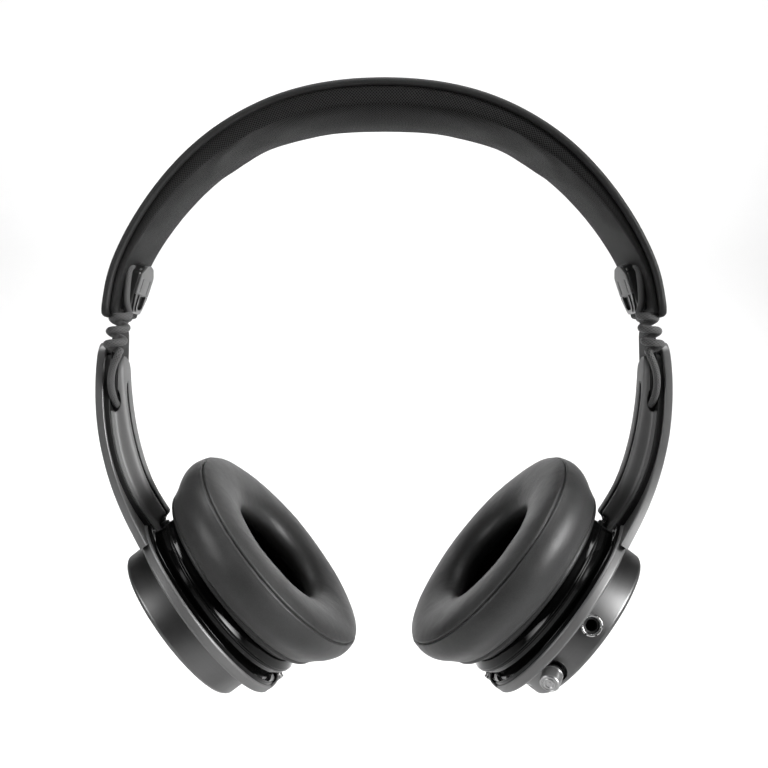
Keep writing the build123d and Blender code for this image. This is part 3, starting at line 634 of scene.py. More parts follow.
def lead_points():
    """The lead's route on the left side: out of the pad, three turns, and the hook into the arm."""
    pts = [(-81.0, -6.6, 37.4), (-81.1, -8.8, 37.5), (-81.3, -10.9, 36.7), (-81.5, -11.9, 34.4),
           (-81.9, -12.2, 30.2), (-82.0, -12.6, 26.2), (-81.2, -13.2, 23.4)]
    top = np.array([-83.2, -14.3, 21.7])
    low = np.array([-85.8, -14.3, 9.4])
    whole = 2 * math.pi * COIL_TURNS
    for t in np.linspace(0, 1, COIL_TURNS * 16 + 1):
        phi = -whole * t
        # each turn lies level across the front and drops behind, and the last one closes in
        c = top + (low - top) * (t + 0.8 / whole * (math.cos(phi) - 1))
        ease = max(0.0, (t - 0.86) / 0.14) ** 2
        pts.append((c[0] + COIL_R * math.cos(phi) * (1 - 0.25 * ease), c[1] + COIL_R * math.sin(phi),
                    c[2] + 0.9 * ease))
    pts += [(-83.9, -15.2, 9.2), (-85.0, -14.6, 7.4), (-86.3, -13.4, 4.4), (-87.0, -12.3, 0.9),
            (-86.9, -11.0, -2.4), (-86.5, -9.2, -5.0), (-86.4, -7.2, -6.2), (-86.4, -5.6, -6.6)]
    return [(x, y, z - CROWN) for x, y, z in pts]


def cord_line(points, name):
    """Points along the NURBS line through the route's control points."""
    curve = bpy.data.curves.new(name, "CURVE")
    curve.dimensions = "3D"
    curve.resolution_u = 6
    s = curve.splines.new("NURBS")
    s.points.add(len(points) - 1)
    for k, p in enumerate(points):
        s.points[k].co = (p[0] * 0.001, p[1] * 0.001, p[2] * 0.001, 1)
    s.order_u = 3
    s.use_endpoint_u = True
    obj = put(name, curve)
    made = evaluated(obj)
    line = np.array([v.co for v in made.vertices]) * 1000
    bpy.data.meshes.remove(made)
    bpy.data.objects.remove(obj)
    bpy.data.curves.remove(curve)
    return line


for key, side in SIDES.items():
    line = cord_line(lead_points(), "lead_line_" + key)
    lead = add_piece("link_lead_braid_" + key, tube(line, LEAD_D / 2, 24).mesh(side), None,
                     LEAD, "link_lead_" + key)
    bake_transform(lead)

# ---------------------------------------------------------------- headband
BAND = [(0.0, 95.9), (15.6, 94.9), (30.6, 91.6), (45.0, 85.4), (57.7, 76.8), (68.6, 65.9),
        (77.1, 54.3), (83.0, 43.6), (86.5, 34.4), (88.3, 24.6), (88.75, 21.2)]
BAND_LINE = [(-x, z - CROWN) for x, z in BAND[::-1]] + [(x, z - CROWN) for x, z in BAND[1:]]
BAND_LONG = length_of(smooth_line(BAND_LINE, 600))
COVER_W = 20.5
COVER_T = 2.4
END_R = 4.0


def stations(total, fine_end, step):
    """Distances along the band, close together at both ends."""
    ends = fine_end * (1 - np.cos(np.linspace(0, math.pi / 2, 10)))
    middle = np.linspace(fine_end, total - fine_end, int((total - 2 * fine_end) / step))
    return np.concatenate([ends[:-1], middle, total - ends[::-1][1:]])


def band_frames(distances):
    """Points on the band's outer line, and the unit vectors across it, as (x, z)."""
    share = np.linspace(0, 1, 1201)
    index = np.arange(len(share))
    across = side_of(smooth_line(BAND_LINE, share))
    at = np.interp(distances / BAND_LONG, share, index)
    n = np.stack([np.interp(at, index, across[:, k]) for k in (0, 1)], 1)
    return smooth_line(BAND_LINE, distances / BAND_LONG), n


def round_end(d, radius):
    """How much narrower the band is at a distance d from its end, for a rounded corner."""
    d = np.clip(d, 0, radius)
    return radius - np.sqrt(np.maximum(radius ** 2 - (radius - d) ** 2, 0))


def cover_mesh():
    """Leather cover of the band: round edges, and a pressed line beside each."""
    s = stations(BAND_LONG, END_R, 1.3)
    r = COVER_T / 2
    line, n = band_frames(s)
    rows = []
    ang = np.radians(np.linspace(-90, 90, 11))
    for k, d in enumerate(np.minimum(s, BAND_LONG - s)):
        w = COVER_W - round_end(d, END_R)
        edge = [(w - r + r * math.cos(a), r + r * math.sin(a)) for a in ang]
        out_y = np.array([1.8, 2.3, 2.6, 2.9, 3.2, 3.5, 4.2, 6.5, 10.5, 15.0])
        out_h = np.array([0.02, 0.06, 0.2, 0.32, 0.2, 0.08, 0.1, 0.1, 0.08, 0.05])
        half = [(max(w - y, 0), h) for y, h in zip(out_y, out_h)]
        inner = [(y, COVER_T) for y in np.linspace(w - 4, -(w - 4), 9)]
        ring = np.array(edge + inner + [(-y, h) for y, h in edge[::-1]] + [(-y, h) for y, h in half]
                        + [(0.0, 0.04)] + half[::-1])
        depth = r + (ring[:, 1] - r) * quarter(d / r)
        p = line[k]
        rows.append(np.stack([p[0] + n[k, 0] * depth, ring[:, 0], p[1] + n[k, 1] * depth], 1))
    return skin(rows, first=False, last=False).mesh()


add_piece("band_cover_leather", cover_mesh(), "headband", COVER, "band_cover")


def stitch(a, b, up):
    """A short stitch lying from a to b, a little flattened."""
    across = np.cross((b - a) / np.linalg.norm(b - a), up)
    ring = STITCH_R * circle(0, 0, 1, 8)
    return skin([a + (b - a) * t + r * (ring[:, 0:1] * across + 0.7 * ring[:, 1:2] * up)
                 for t, r in STITCH_ENDS])


def stitch_rows():
    """A row of stitches along each edge of the cover."""
    piece = Piece()
    s = 6 + np.arange(int((BAND_LONG - 12) / STITCH_PITCH)) * STITCH_PITCH
    for y in (COVER_W - 2.9, -(COVER_W - 2.9)):
        a, n = band_frames(s)
        b, _ = band_frames(s + 2.5)
        for k in range(len(s)):
            start, end = (np.array([q[k, 0] + n[k, 0] * 0.2, y, q[k, 1] + n[k, 1] * 0.2]) for q in (a, b))
            piece.merge(stitch(start, end, np.array([-n[k, 0], 0, -n[k, 1]])))
    return piece


STITCH_R = 0.26
STITCH_PITCH = 3.3
# share of the stitch's length, and share of its radius there
STITCH_ENDS = ((-0.04, 0.15), (0.0, 0.65), (0.12, 0.95), (0.35, 1.0), (0.65, 1.0), (0.88, 0.95), (1.0, 0.65),
               (1.04, 0.15))
add_piece("band_cover_stitching", stitch_rows().mesh(sharp=80), "headband", THREAD)


# ---------------------------------------------------------------- cloth
CLOTH_FRAMES = 20


def inflate(name, grid, pins, pressure, cap, stiff, close_u):
    """Run Blender's cloth on a grid of points in mm, with pressure inside and gravity off, and return where
    the points end up, none further than cap from its start."""
    g = np.asarray(grid, float)
    piece = Piece().grid(g, close_u=close_u)
    mesh = bpy.data.meshes.new(name)
    mesh.from_pydata((piece.verts[0] * 0.001).tolist(), [], piece.faces)
    obj = put(name, mesh)
    group = obj.vertex_groups.new(name="held")
    for i, w in enumerate(pins.ravel()):
        if w > 0:
            group.add([i], float(w), "REPLACE")
    mod = obj.modifiers.new("cloth", "CLOTH")
    st = mod.settings
    st.vertex_group_mass = "held"
    st.use_pressure = True
    st.uniform_pressure_force = pressure
    st.effector_weights.gravity = 0
    st.tension_stiffness = stiff
    st.compression_stiffness = stiff
    st.shear_stiffness = stiff * 0.5
    st.bending_stiffness = 0.6
    st.quality = 5
    st.mass = 0.25
    mod.collision_settings.use_collision = False
    mod.collision_settings.use_self_collision = False
    mod.point_cache.frame_start = 1
    mod.point_cache.frame_end = CLOTH_FRAMES
    for f in range(1, CLOTH_FRAMES + 1):
        SCENE.frame_set(f)
    made = evaluated(obj)
    out = np.array([p.co for p in made.vertices], float) * 1000
    bpy.data.meshes.remove(made)
    bpy.data.objects.remove(obj)
    bpy.data.meshes.remove(mesh)
    SCENE.frame_set(1)
    move = out.reshape(g.shape) - g
    size = np.linalg.norm(move, axis=2, keepdims=True)
    return g + move * np.minimum(1, cap / np.maximum(size, 1e-9))


def resample(values, u, v, close_u):
    """Smooth (cubic) reading of a grid of values at fractional rows u and columns v."""
    def weights(t):
        return np.stack([-0.5 * t + t ** 2 - 0.5 * t ** 3, 1 - 2.5 * t ** 2 + 1.5 * t ** 3,
                         0.5 * t + 2 * t ** 2 - 1.5 * t ** 3, -0.5 * t ** 2 + 0.5 * t ** 3])
    g = np.asarray(values, float)
    nu, nv = g.shape[:2]
    iu = np.floor(u).astype(int)
    iv = np.clip(np.floor(v).astype(int), 0, nv - 2)
    wu, wv = weights(u - iu), weights(v - iv)
    out = 0
    for a in range(4):
        ra = (iu + a - 1) % nu if close_u else np.clip(iu + a - 1, 0, nu - 1)
        for b in range(4):
            rb = np.clip(iv + b - 1, 0, nv - 1)
            out = out + (wu[a][:, None] * wv[b][None, :])[:, :, None] * g[ra][:, rb]
    return out


# ---------------------------------------------------------------- band pad
PAD_W = 19.2
PAD_BASE = 2.35
PAD_INSET = 1.2


def pad_heights(s):
    """Total height of the pad over its base, and a 0..1 fullness, at distances along the band."""
    index = hand_index(s)
    k = 0.5 + 0.5 * np.cos(math.pi * np.minimum(np.abs(index - 10) / 10 / 0.85, 1))
    return 1.8 + 7.4 * k, k


def hand_index(s):
    """Which of the band's listed points lies at a distance along it, as a number with a fraction."""
    p = np.array(BAND_LINE)
    t = np.concatenate([[0], np.cumsum(np.linalg.norm(np.diff(p, axis=0), axis=1))])
    return np.interp(s / BAND_LONG * t[-1], t, np.arange(len(p)))


def pad_section(t, k, w):
    """Half outline of the pad across the band, from its base to the middle, as (y, height)."""
    e = t * (0.9 - 0.28 * k)
    y = [w - 0.5, w - 0.2, w, w - 0.02, w - 0.15, w - 0.45, w - 0.75, w - 0.95, w - 1.15, w - 1.5, w - 2.4]
    h = [0.0, e * 0.12, e * 0.35, e * 0.6, e * 0.82, e * 0.96, e * 0.99, e * 0.93, e * 1.0, e * 1.03 + 0.02,
         e + (t - e) * 0.22]
    for f in (0.78, 0.66, 0.54, 0.42, 0.3, 0.2, 0.1, 0.0):
        y.append(w * f)
        h.append(e + (t - e) * (1 - f ** 2.3))
    return np.array(y), np.array(h)


def pad_rows(s):
    """The pad's cross sections, and how far along each section its points lie."""
    line, n = band_frames(s)
    t, k = pad_heights(s)
    rows, uvs = [], []
    for i in range(len(s)):
        d = min(s[i], BAND_LONG - s[i]) - PAD_INSET
        w = PAD_W - round_end(max(d, 0), 3.0)
        y, h = pad_section(t[i], k[i], w)
        h = h * quarter(max(d, 0))
        yy = np.concatenate([y, -y[::-1][1:]])
        hh = np.concatenate([h, h[::-1][1:]])
        depth = PAD_BASE + hh
        rows.append(np.stack([line[i, 0] + n[i, 0] * depth, yy, line[i, 1] + n[i, 1] * depth], 1))
        uvs.append(np.concatenate([[0], np.cumsum(np.hypot(np.diff(yy), np.diff(hh)))]))
    return np.array(rows), np.array(uvs)


def pad_mesh():
    """Pad under the band: its sections, blown up a little as cloth between their held edges."""
    long = BAND_LONG - 2 * PAD_INSET
    s = PAD_INSET + stations(long, 3.0, 1.1)
    rows, around = pad_rows(s)
    coarse = np.linspace(PAD_INSET, BAND_LONG - PAD_INSET, 100)
    start, _ = pad_rows(coarse)
    nv = start.shape[1]
    pins = np.zeros((len(coarse), nv))
    pins[:, :7] = 1
    pins[:, -7:] = 1
    pins[:2] = 1
    pins[-2:] = 1
    end = inflate("pad_cloth", start, pins, 3.0, 0.8, 25.0, close_u=False)
    u = np.clip((s - PAD_INSET) / long * (len(coarse) - 1), 0, len(coarse) - 1.001)
    rows = rows + resample(end - start, u, np.arange(nv, dtype=float), False)
    mid = around[len(around) // 2]
    return Piece().grid(rows, uv=(s, mid - mid[len(mid) // 2])).mesh(sharp=60)


add_piece("band_pad_mesh_fabric", pad_mesh(), "headband", MESH, "band_pad")


# ---------------------------------------------------------------- adjuster
def block_piece():
    """Moulded block that carries the slider: a leaning wedge with soft edges and a crowned top."""
    rows = []
    ring = round_outline([(-10.0, 1.9), (-10.0, 15.4), (-5.0, 17.6), (0.0, 18.3), (5.0, 17.6), (10.0, 15.4),
                          (10.0, 1.9)], [1.6, 1.3, 4.0, 4.0, 4.0, 1.3, 1.6], steps=8)
    middle = np.array([0.0, 9.5])
    for depth, grow in ((-1.6, 0.55), (-1.6, 0.3), (-1.45, 0.08), (-1.2, 0.0), (0.6, 0.0), (1.7, 0.0),
                        (2.2, 0.1), (2.45, 0.3), (2.56, 0.65), (2.56, 1.3)):
        inset = ring - (ring - middle) / np.linalg.norm(ring - middle, axis=1)[:, None] * grow
        low = np.clip((4.0 - inset[:, 1]) / 4.0, 0, 1) ** 2 * max(0.0, -depth) * 1.2
        rows.append(SLIDE + inset[:, 0:1] * Y + (inset[:, 1] + low)[:, None] * UP + depth * IN)
    return skin(rows)


def detent_piece():
    """Satin plate on the upper part of the block's inner face: crowned top and two slots."""
    outline = round_outline([(-9.6, 8.3), (9.6, 8.3), (9.6, 15.0), (5.0, 17.7), (0.0, 18.4), (-5.0, 17.7),
                             (-9.6, 15.0)], [0.4, 0.4, 2.0, 4.0, 5.0, 4.0, 2.0], steps=8)
    slots = [round_outline(box(x - 0.6, x + 0.6, 9.0, 13.6), 0.5) for x in (-5.4, 5.4)]
    return plate(outline, slots, 0.65, SLIDE + IN * 2.875, Y, UP, bevel=0.2, steps=4)


def box(left, right, low, high):
    return [(left, low), (right, low), (right, high), (left, high)]


def lower_lip():
    """Dark lip under the plate, with the U-shaped opening that shows the slider and a raised rim round it."""
    outline = round_outline([(-9.6, 7.6), (-6.4, 2.2), (6.4, 2.2), (9.6, 7.6), (9.6, 8.25), (-9.6, 8.25)],
                            [5.0, 3.4, 3.4, 5.0, 0.2, 0.2], steps=8)
    opening = round_outline(box(-4.2, 4.2, 3.5, 8.0), [2.8, 2.8, 0.4, 0.4])
    made = plate(outline, [opening], 0.95, SLIDE + IN * 2.7, Y, UP, bevel=0.25, steps=5)
    return made.merge(plate(u_outline(5.5, 4.2, 2.5, 3.5, 8.2, 3.4, 2.6), [], 0.5, SLIDE + IN * 3.3, Y, UP,
                            bevel=0.2, steps=4))


def u_outline(wide, narrow, low, floor, top, r_out, r_in):
    """Outline of a U: half widths outside and inside, with round lower corners."""
    a = np.radians(np.linspace(0, 90, 9))
    outer = np.stack([wide - r_out + r_out * np.cos(a), low + r_out - r_out * np.sin(a)], 1)
    inner = np.stack([narrow - r_in + r_in * np.cos(a), floor + r_in - r_in * np.sin(a)], 1)[::-1]
    outer = np.vstack([[(wide, top)], outer])
    inner = np.vstack([inner, [(narrow, top)]])
    mirror = np.array([-1.0, 1.0])
    return np.vstack([outer, outer[::-1] * mirror, inner[::-1] * mirror, inner])


def blade_piece():
    """Blackened slider: a leaning stem with detent notches and the upright plate that joins the arm."""
    notches = [circle(0.0, 6.0 + i * 3.0, 0.9) for i in range(4)]
    piece = plate(round_outline(box(-4.5, 4.5, -3.0, 16.6), [0.2, 0.2, 0.3, 0.3]), notches, 1.5, SLIDE, Y, UP,
                  bevel=0.2)
    # the stem steps outwards at its top and ends in a leaf inside the band
    bend_at, leaf_at = math.radians(30.0), math.radians(27.0)
    rise = UP * math.cos(bend_at) - IN * math.sin(bend_at)
    foot = SLIDE + UP * 15.2
    piece.merge(plate(round_outline(box(-4.5, 4.5, 0.0, 5.6), 0.3), [], 1.2, foot, Y, rise, bevel=0.2))
    along = np.array([math.sin(leaf_at), 0.0, math.cos(leaf_at)])
    piece.merge(plate(round_outline(box(-4.5, 4.5, 0.0, 7.0), [0.3, 0.3, 1.2, 1.2]),
                      [circle(0.0, 4.0, 0.9)], 1.0, foot + rise * 4.9, Y, along, bevel=0.2))
    top, low = np.array([-86.2, 0, 18.1 - CROWN]), np.array([-86.75, 0, -4.0 - CROWN])
    down = (top - low) / np.linalg.norm(top - low)
    piece.merge(plate(round_outline(box(-10.0, 10.0, 0.0, 22.1), [2.0, 2.0, 3.2, 3.2]),
                      [circle(y, 8.2, 0.85) for y in (-8.6, 8.6)], 1.5, low, Y, down, bevel=0.25))
    # the bend between the stem and the upright plate
    rows = []
    for t in np.linspace(0, 1, 9):
        c = (top - np.array([0, 0, 0.9])) * (1 - t) + (SLIDE - UP * 2.2) * t
        lean = (1 - t) * math.radians(1.4) + t * LEAN
        ring = rounded_box_ring(8.6 * (1 - t) ** 1.6 + 4.5 * (1 - (1 - t) ** 1.6), 0.75, 0.2)
        rows.append(c + ring[:, 0:1] * Y + ring[:, 1:2] * np.array([math.cos(lean), 0, -math.sin(lean)]))
    return piece.merge(skin(rows))


# ---------------------------------------------------------------- arm
ARM = [(-91.0, 13.4), (-91.9, 5.0), (-92.15, -3.8), (-91.0, -17.2), (-86.9, -32.2), (-80.5, -44.2)]
ARM_END = HUB - T * 27.0 + N * 9.7
ARM_LINE = [(x, z - CROWN) for x, z in ARM] + [(ARM_END[0], ARM_END[2])]
ARM_LONG = length_of(smooth_line(ARM_LINE, 600))
RING_R = 34.2
DISH_R = 32.6
NECK = 11.5
SHELL_T = 2.6
HUB_EDGE = 27.0
ARM_FINE = smooth_line(ARM_LINE, np.linspace(0, 1, 801))
ARM_IN = -side_of(ARM_FINE)


def arm_at(s, depth, y):
    """Points on the arm at distance s from its top, depth in from its outer face, and y."""
    i = np.arange(len(ARM_FINE))
    k = np.clip(np.asarray(s, float) / ARM_LONG, 0, 1) * i[-1]
    p = np.stack([np.interp(k, i, ARM_FINE[:, 0]), np.interp(k, i, ARM_FINE[:, 1])], -1)
    n = np.stack([np.interp(k, i, ARM_IN[:, 0]), np.interp(k, i, ARM_IN[:, 1])], -1)
    d = np.asarray(depth, float)
    q = p + n * d[..., None]
    return np.stack([q[..., 0], np.broadcast_to(y, d.shape), q[..., 1]], -1)


def neck_half(s):
    """Half width of the arm seen from the side: round top corners, straight neck, flared shoulders."""
    s = np.asarray(s, float)
    flare = np.clip((s - 34.0) / 44.0, 0, 1)
    w = NECK + 21.0 * flare ** 2.1
    top = np.clip(s, 0, 5.0)
    return w - (5.0 - np.sqrt(np.maximum(25.0 - (5.0 - top) ** 2, 0)))


def shell_piece():
    """Outer shell of the arm, as one skin from the top of the neck down to the ring."""
    c = 0.42
    vs = np.linspace(-1, 1, 37)
    arc = [(c * (1 - math.sin(a)), c * (1 - math.cos(a))) for a in np.radians((30, 60, 90))]
    # each point of the section: (share of the half width, offset of the edge inwards, depth)
    pts = [(v, c, 0.0) for v in vs]
    pts += [(1.0, e, d) for e, d in arc]
    pts += [(1.0, 0.0, d) for d in (0.9, 1.5, 2.0)]
    pts += [(1.0, d, SHELL_T - e) for e, d in arc]
    pts += [(v, c, SHELL_T) for v in vs[::-1][1:]]
    pts += [(-1.0, e, SHELL_T - d) for e, d in arc]
    pts += [(-1.0, 0.0, d) for d in (2.0, 1.5, 0.9)]
    pts += [(-1.0, d, e) for e, d in arc[:2]]
    share, edge, depth = np.array(pts).T
    fine = np.linspace(0, ARM_LONG, 900)
    half = neck_half(fine)
    ends = []
    for v in share:
        q = arm_at(fine, np.full(900, 1.3), v * half)
        radial = np.hypot((q - HUB) @ T, q[:, 1])
        inside = np.nonzero((radial < RING_R - 0.8) & (fine > 30))[0]
        ends.append(fine[inside[0]] if len(inside) else ARM_LONG)
    ends = np.array(ends)
    rows = []
    u = np.concatenate([0.0675 * (1 - np.cos(np.linspace(0, math.pi / 2, 12)))[:-1],
                        np.linspace(0.0675, 1, 90)])
    for f in u:
        s = f * ends
        d = SHELL_T / 2 + (depth - SHELL_T / 2) * (0.72 + 0.28 * quarter(f * 160))
        rows.append(arm_at(s, d, share * np.maximum(neck_half(s) - edge, 0.0)))
    return skin(rows, last=False)


def ring_profile():
    """Section of the ring at the lower end of the arm."""
    return rounded([(DISH_R + 0.02, 13.0), (RING_R - 0.5, 13.0), (RING_R + 0.05, 12.5), (RING_R + 0.05, 10.1),
                    (RING_R - 0.6, 9.45), (DISH_R - 1.6, 9.25), (HUB_EDGE, 9.25)], [0.2, 0.35, 0.3, 0.3, 0.3])


def hook_piece():
    """The curled lug at the end of the ring, behind the upper pivot pin: a thin strip bent over the cup."""
    outer = smooth_line([(33.4, 10.4), (33.75, 11.6), (33.85, 13.2), (33.6, 14.8), (32.8, 16.0),
                         (31.9, 16.4)], 26)
    across = -side_of(outer)
    rows = []
    for p, out, t in zip(outer, across, np.linspace(0, 1, len(outer))):
        thin = 0.5 * (1 - 0.35 * t)
        ring = rounded_box_ring(6.6 - 2.4 * t ** 1.4, thin, 0.28)
        q = p + out * (ring[:, 1:2] + thin)
        rows.append(HUB + q[:, 0:1] * T + q[:, 1:2] * N + ring[:, 0:1] * Y)
    return skin(rows)


def strip_piece():
    """Dark strip between the shell and the rail."""
    rows = []
    for x in np.linspace(3.2, 66.0, 90):
        ring = rounded_box_ring(7.4 + 3.0 * quarter((x - 3.2) / 3.0), 0.9, 0.25)
        rows.append(arm_at(np.full(len(ring), x), SHELL_T + 0.86 + ring[:, 1], ring[:, 0]))
    return skin(rows)


RAIL_CREST = [(-84.2, 9.5), (-83.9, 2.0), (-83.2, -6.0), (-81.6, -16.0), (-78.9, -26.0), (-75.6, -34.0),
              (-71.6, -40.6)]


def rail_piece(shade_sheet=False):
    """Rail on the arm: flange, coved sides, round tip, and a groove between two ribs. Or, alone, the dark
    sheet that lies just over the groove as painted shade.
    """
    count = 150
    base_s = np.linspace(3.9, ARM_LONG - 1.0, count)
    base = arm_at(base_s, np.full(count, SHELL_T + 1.75), np.zeros(count))[:, [0, 2]]
    crest = smooth_line([(x, z - CROWN) for x, z in RAIL_CREST], 400)
    arc = np.array([(-70.9, -42.1), (-71.9, -43.5), (-72.35, -45.3), (-72.1, -47.0)]) - [0, CROWN]
    crest = np.concatenate([crest, smooth_line(np.vstack([crest[-1], arc]), 60)[1:]])
    long = np.concatenate([[0], np.cumsum(np.linalg.norm(np.diff(crest, axis=0), axis=1))])
    f = np.linspace(0, 1, count)
    at = f * long[-1]
    top = np.stack([np.interp(at, long, crest[:, 0]), np.interp(at, long, crest[:, 1])], 1)
    rows = []
    for k in range(count):
        d = base_s[k] - base_s[0]
        w = 6.5 * quarter(d / 6.4)
        fw = max(9.4 * quarter(max(d - 11.0, 0) / 4.0), w * 0.98)
        high = float(np.linalg.norm(top[k] - base[k]))
        dome = high * (0.55 + 0.45 * quarter(d / 4.2))
        lift = 0.0 if d > 15 else 1.6 * (1 - d / 15) ** 1.3
        lip = min(0.6, dome * 0.3)
        groove = quarter(max(d - 9.0, 0) / 7.0)
        gw = 2.0 * groove
        gd = groove * min(high * 0.8, 2.2 + 1.6 * np.clip((d - 25) / 25, 0, 1))
        cove = 0.3 + 1.2 * float(np.clip((fw - w - 0.1) / 2.0, 0, 1))
        half = [(fw, 0.0), (fw, lip * 0.5), (fw - 0.12, lip * 0.85), (fw - 0.35, lip),
                (w + cove * 0.75, lip + 0.02), (w + cove * 0.42, lip + 0.12 + lift * 0.1),
                (w + cove * 0.18, lip + 0.42 + lift * 0.4), (w + cove * 0.03, lip + 0.95 + lift * 0.6),
                (w - 0.04, dome * 0.5), (w - 0.16, dome * 0.68), (w - 0.38, dome * 0.82),
                (w - 0.72, dome * 0.92), (w - 1.15, dome * 0.98), (w - 1.6, dome), (gw + 0.5, dome),
                (gw + 0.16, dome - 0.1 * groove),
                (gw - 0.12, dome - 0.36 * groove), (gw * 0.86, dome - gd * 0.5), (gw * 0.66, dome - gd * 0.8),
                (gw * 0.4, dome - gd * 0.96), (0.0, dome - gd)]
        if w < 1.2:
            half = [(fw * (1 - j / 20), min(dome, j / 20 * dome * 3)) for j in range(21)]
        half = np.array(half)
        half[:, 0] = np.maximum(half[:, 0], 0)
        aside = np.where(np.arange(len(half)) >= 14, -1.6 * groove, 0.0)
        # the dark sheet keeps only the groove's part of each section, lifted a little over it: painted shade
        # in the groove
        if shade_sheet and groove < 0.35:
            continue
        if shade_sheet:
            half, aside = half[16:], aside[16:]
        y = np.concatenate([half[:, 0] + aside, (aside - half[:, 0])[::-1][1:]])
        h = np.concatenate([half[:, 1], half[::-1][1:, 1]])
        if shade_sheet:
            y = np.concatenate([y, y[::-1]])
            h = np.concatenate([h + 0.06, h[::-1] - 0.3])
        h = h / max(high, 1e-6)
        p = base[k] + (top[k] - base[k]) * h[:, None]
        rows.append(np.stack([p[:, 0], y, p[:, 1]], 1))
    return skin(rows, first=shade_sheet)


def rail_mesh(side):
    """The rail with the oval hole that the lead enters."""
    oval = circle(0, 0, 1, 40) * [1.95, 4.0]
    tool = prism(oval, np.array([-86.9, 0.0, -5.0 - CROWN]), np.array([1.0, 0.0, 0.06]),
                 np.array([-0.06, 0.0, 1.0]), 4.4, 12.0, side)
    return cut_away(rail_piece().mesh(side, sharp=50), [tool])


def dish_piece():
    """Gloss black dish that fills the ring and faces the cup."""
    profile = rounded([(26.0, 10.3), (DISH_R - 2.0, 10.3), (DISH_R - 0.75, 11.4), (DISH_R - 0.7, 13.1),
                       (DISH_R + 0.1, 13.5), (DISH_R + 0.2, 14.2), (RING_R - 0.9, 14.2),
                       (RING_R - 0.75, 13.7), (RING_R - 0.75, 12.6), (DISH_R, 12.5), (DISH_R, 9.5),
                       (0.0, 9.5)],
                      [0.2, 0.8, 0.3, 0.2, 0.2, 0.25, 0.3, 0.1, 0.1, 0.1])
    profile = np.vstack([[(0.0, 10.3)], profile])
    return lathe(profile, HUB, N, T, 192)


def bosses(spans, radius):
    """Short turned bosses on the swivel axis, their rims rounded."""
    piece = Piece()
    ring = circle(0, 0, radius, 40)
    for low, high in spans:
        piece.merge(skin([PIVOT + T * (low + (high - low) * t) + r * (ring[:, 0:1] * N + ring[:, 1:2] * Y)
                          for t, r in BOSS_RIM]))
    return piece


# share of the boss's length, and share of its radius there
BOSS_RIM = ((0.0, 0.5), (0.0, 0.88), (0.12, 0.98), (0.35, 1.0), (0.5, 1.0), (0.65, 1.0), (0.88, 0.98),
            (1.0, 0.88), (1.0, 0.5))
BLOCK_SCREW = [(0.0, -1.0), (0.72, -1.0), (0.72, 1.35), (1.5, 1.5), (1.5, 1.95), (1.2, 2.16), (0.6, 2.16),
               (0.6, 1.75), (0.0, 1.75)]
BLADE_SCREW = [(0.0, -1.9), (0.8, -1.9), (0.8, 0.0), (1.4, 0.6), (1.35, 0.76), (0.55, 0.8), (0.55, 0.4),
               (0.0, 0.4)]


def screw_pair(origin, axis, apart, profile):
    """Two socket screws, one each side of the middle plane."""
    left, right = (lathe(rounded(profile, 0.1), origin + Y * y, axis, Y, 48) for y in (-apart, apart))
    return left.merge(right)


# ---------------------------------------------------------------- housing and cap
def housing_mesh(side):
    """Turned housing shell; the right one has holes for the jack, the knob and the port."""
    profile = rounded([(25.15, 1.0), (25.15, -0.62), (26.7, -0.62), (27.6, 0.35), (27.6, 9.25), (26.3, 9.25),
                       (26.3, 1.6), (0.0, 1.6)], [0.2, 0.25, 0.55, 0.3, 0.25, 0.2])
    mesh = lathe(profile, HUB, N, T, 224).mesh(side)
    tools = [slot_tool(control_axes(-90, 4.4), 3.4, 0.9, 26.9, 29.5, side)]
    if side < 0:
        tools.append(bore_tool(JACK, [(2.52, 20.0), (2.52, 26.9), (3.55, 26.9), (3.55, 30.0)], side))
        tools.append(bore_tool(KNOB, [(4.12, 20.0), (4.12, 30.0)], side))
        tools.append(slot_tool(PORT, 3.3, 9.0, 20.0, 30.0, side))
    return cut_away(mesh, tools)


def control_axes(angle, height):
    """Origin and axes of a control on the housing's side, x along the housing's axis, z pointing out."""
    a = math.radians(angle)
    out = -Y * math.cos(a) + T * math.sin(a)
    return HUB + N * height, N, np.cross(out, N), out


JACK = control_axes(-4, 5.6)
KNOB = control_axes(37, 4.9)
PORT = control_axes(80, 5.6)


def slot_tool(axes, long, wide, low, high, side):
    """Tool for a slot with round ends, long along x and wide along y; either may be the greater."""
    o, x, y, _ = axes
    if wide > long:
        return prism(stadium(wide, long, 13)[:, ::-1] * [-1, 1], o, x, y, low, high, side)
    return prism(stadium(long, wide, 13), o, x, y, low, high, side)


def bore_tool(axes, steps, side):
    """Tool for a stepped hole, each step a (radius, height)."""
    o, x, _, z = axes
    profile = [(0.0, steps[0][1])] + list(steps) + [(0.0, steps[-1][1])]
    return lathe(profile, o, z, x, 64).mesh(side)


def cap_piece():
    """Outer cap: a shallow dome inside the housing's lip, with a turned step near its edge."""
    profile = rounded([(25.05, 0.6), (25.05, -0.3), (24.3, -0.62), (23.4, -0.55), (22.9, -0.72),
                       (14.0, -0.92), (0.0, -1.0)], [0.15, 0.3, 0.2, 0.3, 3.0])
    return lathe(profile, HUB, N, T, 192)


# ---------------------------------------------------------------- cup
def on_cup(theta, radius, axial):
    """Points round the cup's own axis, one row for each angle."""
    rays = np.cos(theta)[:, None] * T + np.sin(theta)[:, None] * Y2
    return HUB2 + radius[None, :, None] * rays[:, None, :] + axial[..., None] * N2


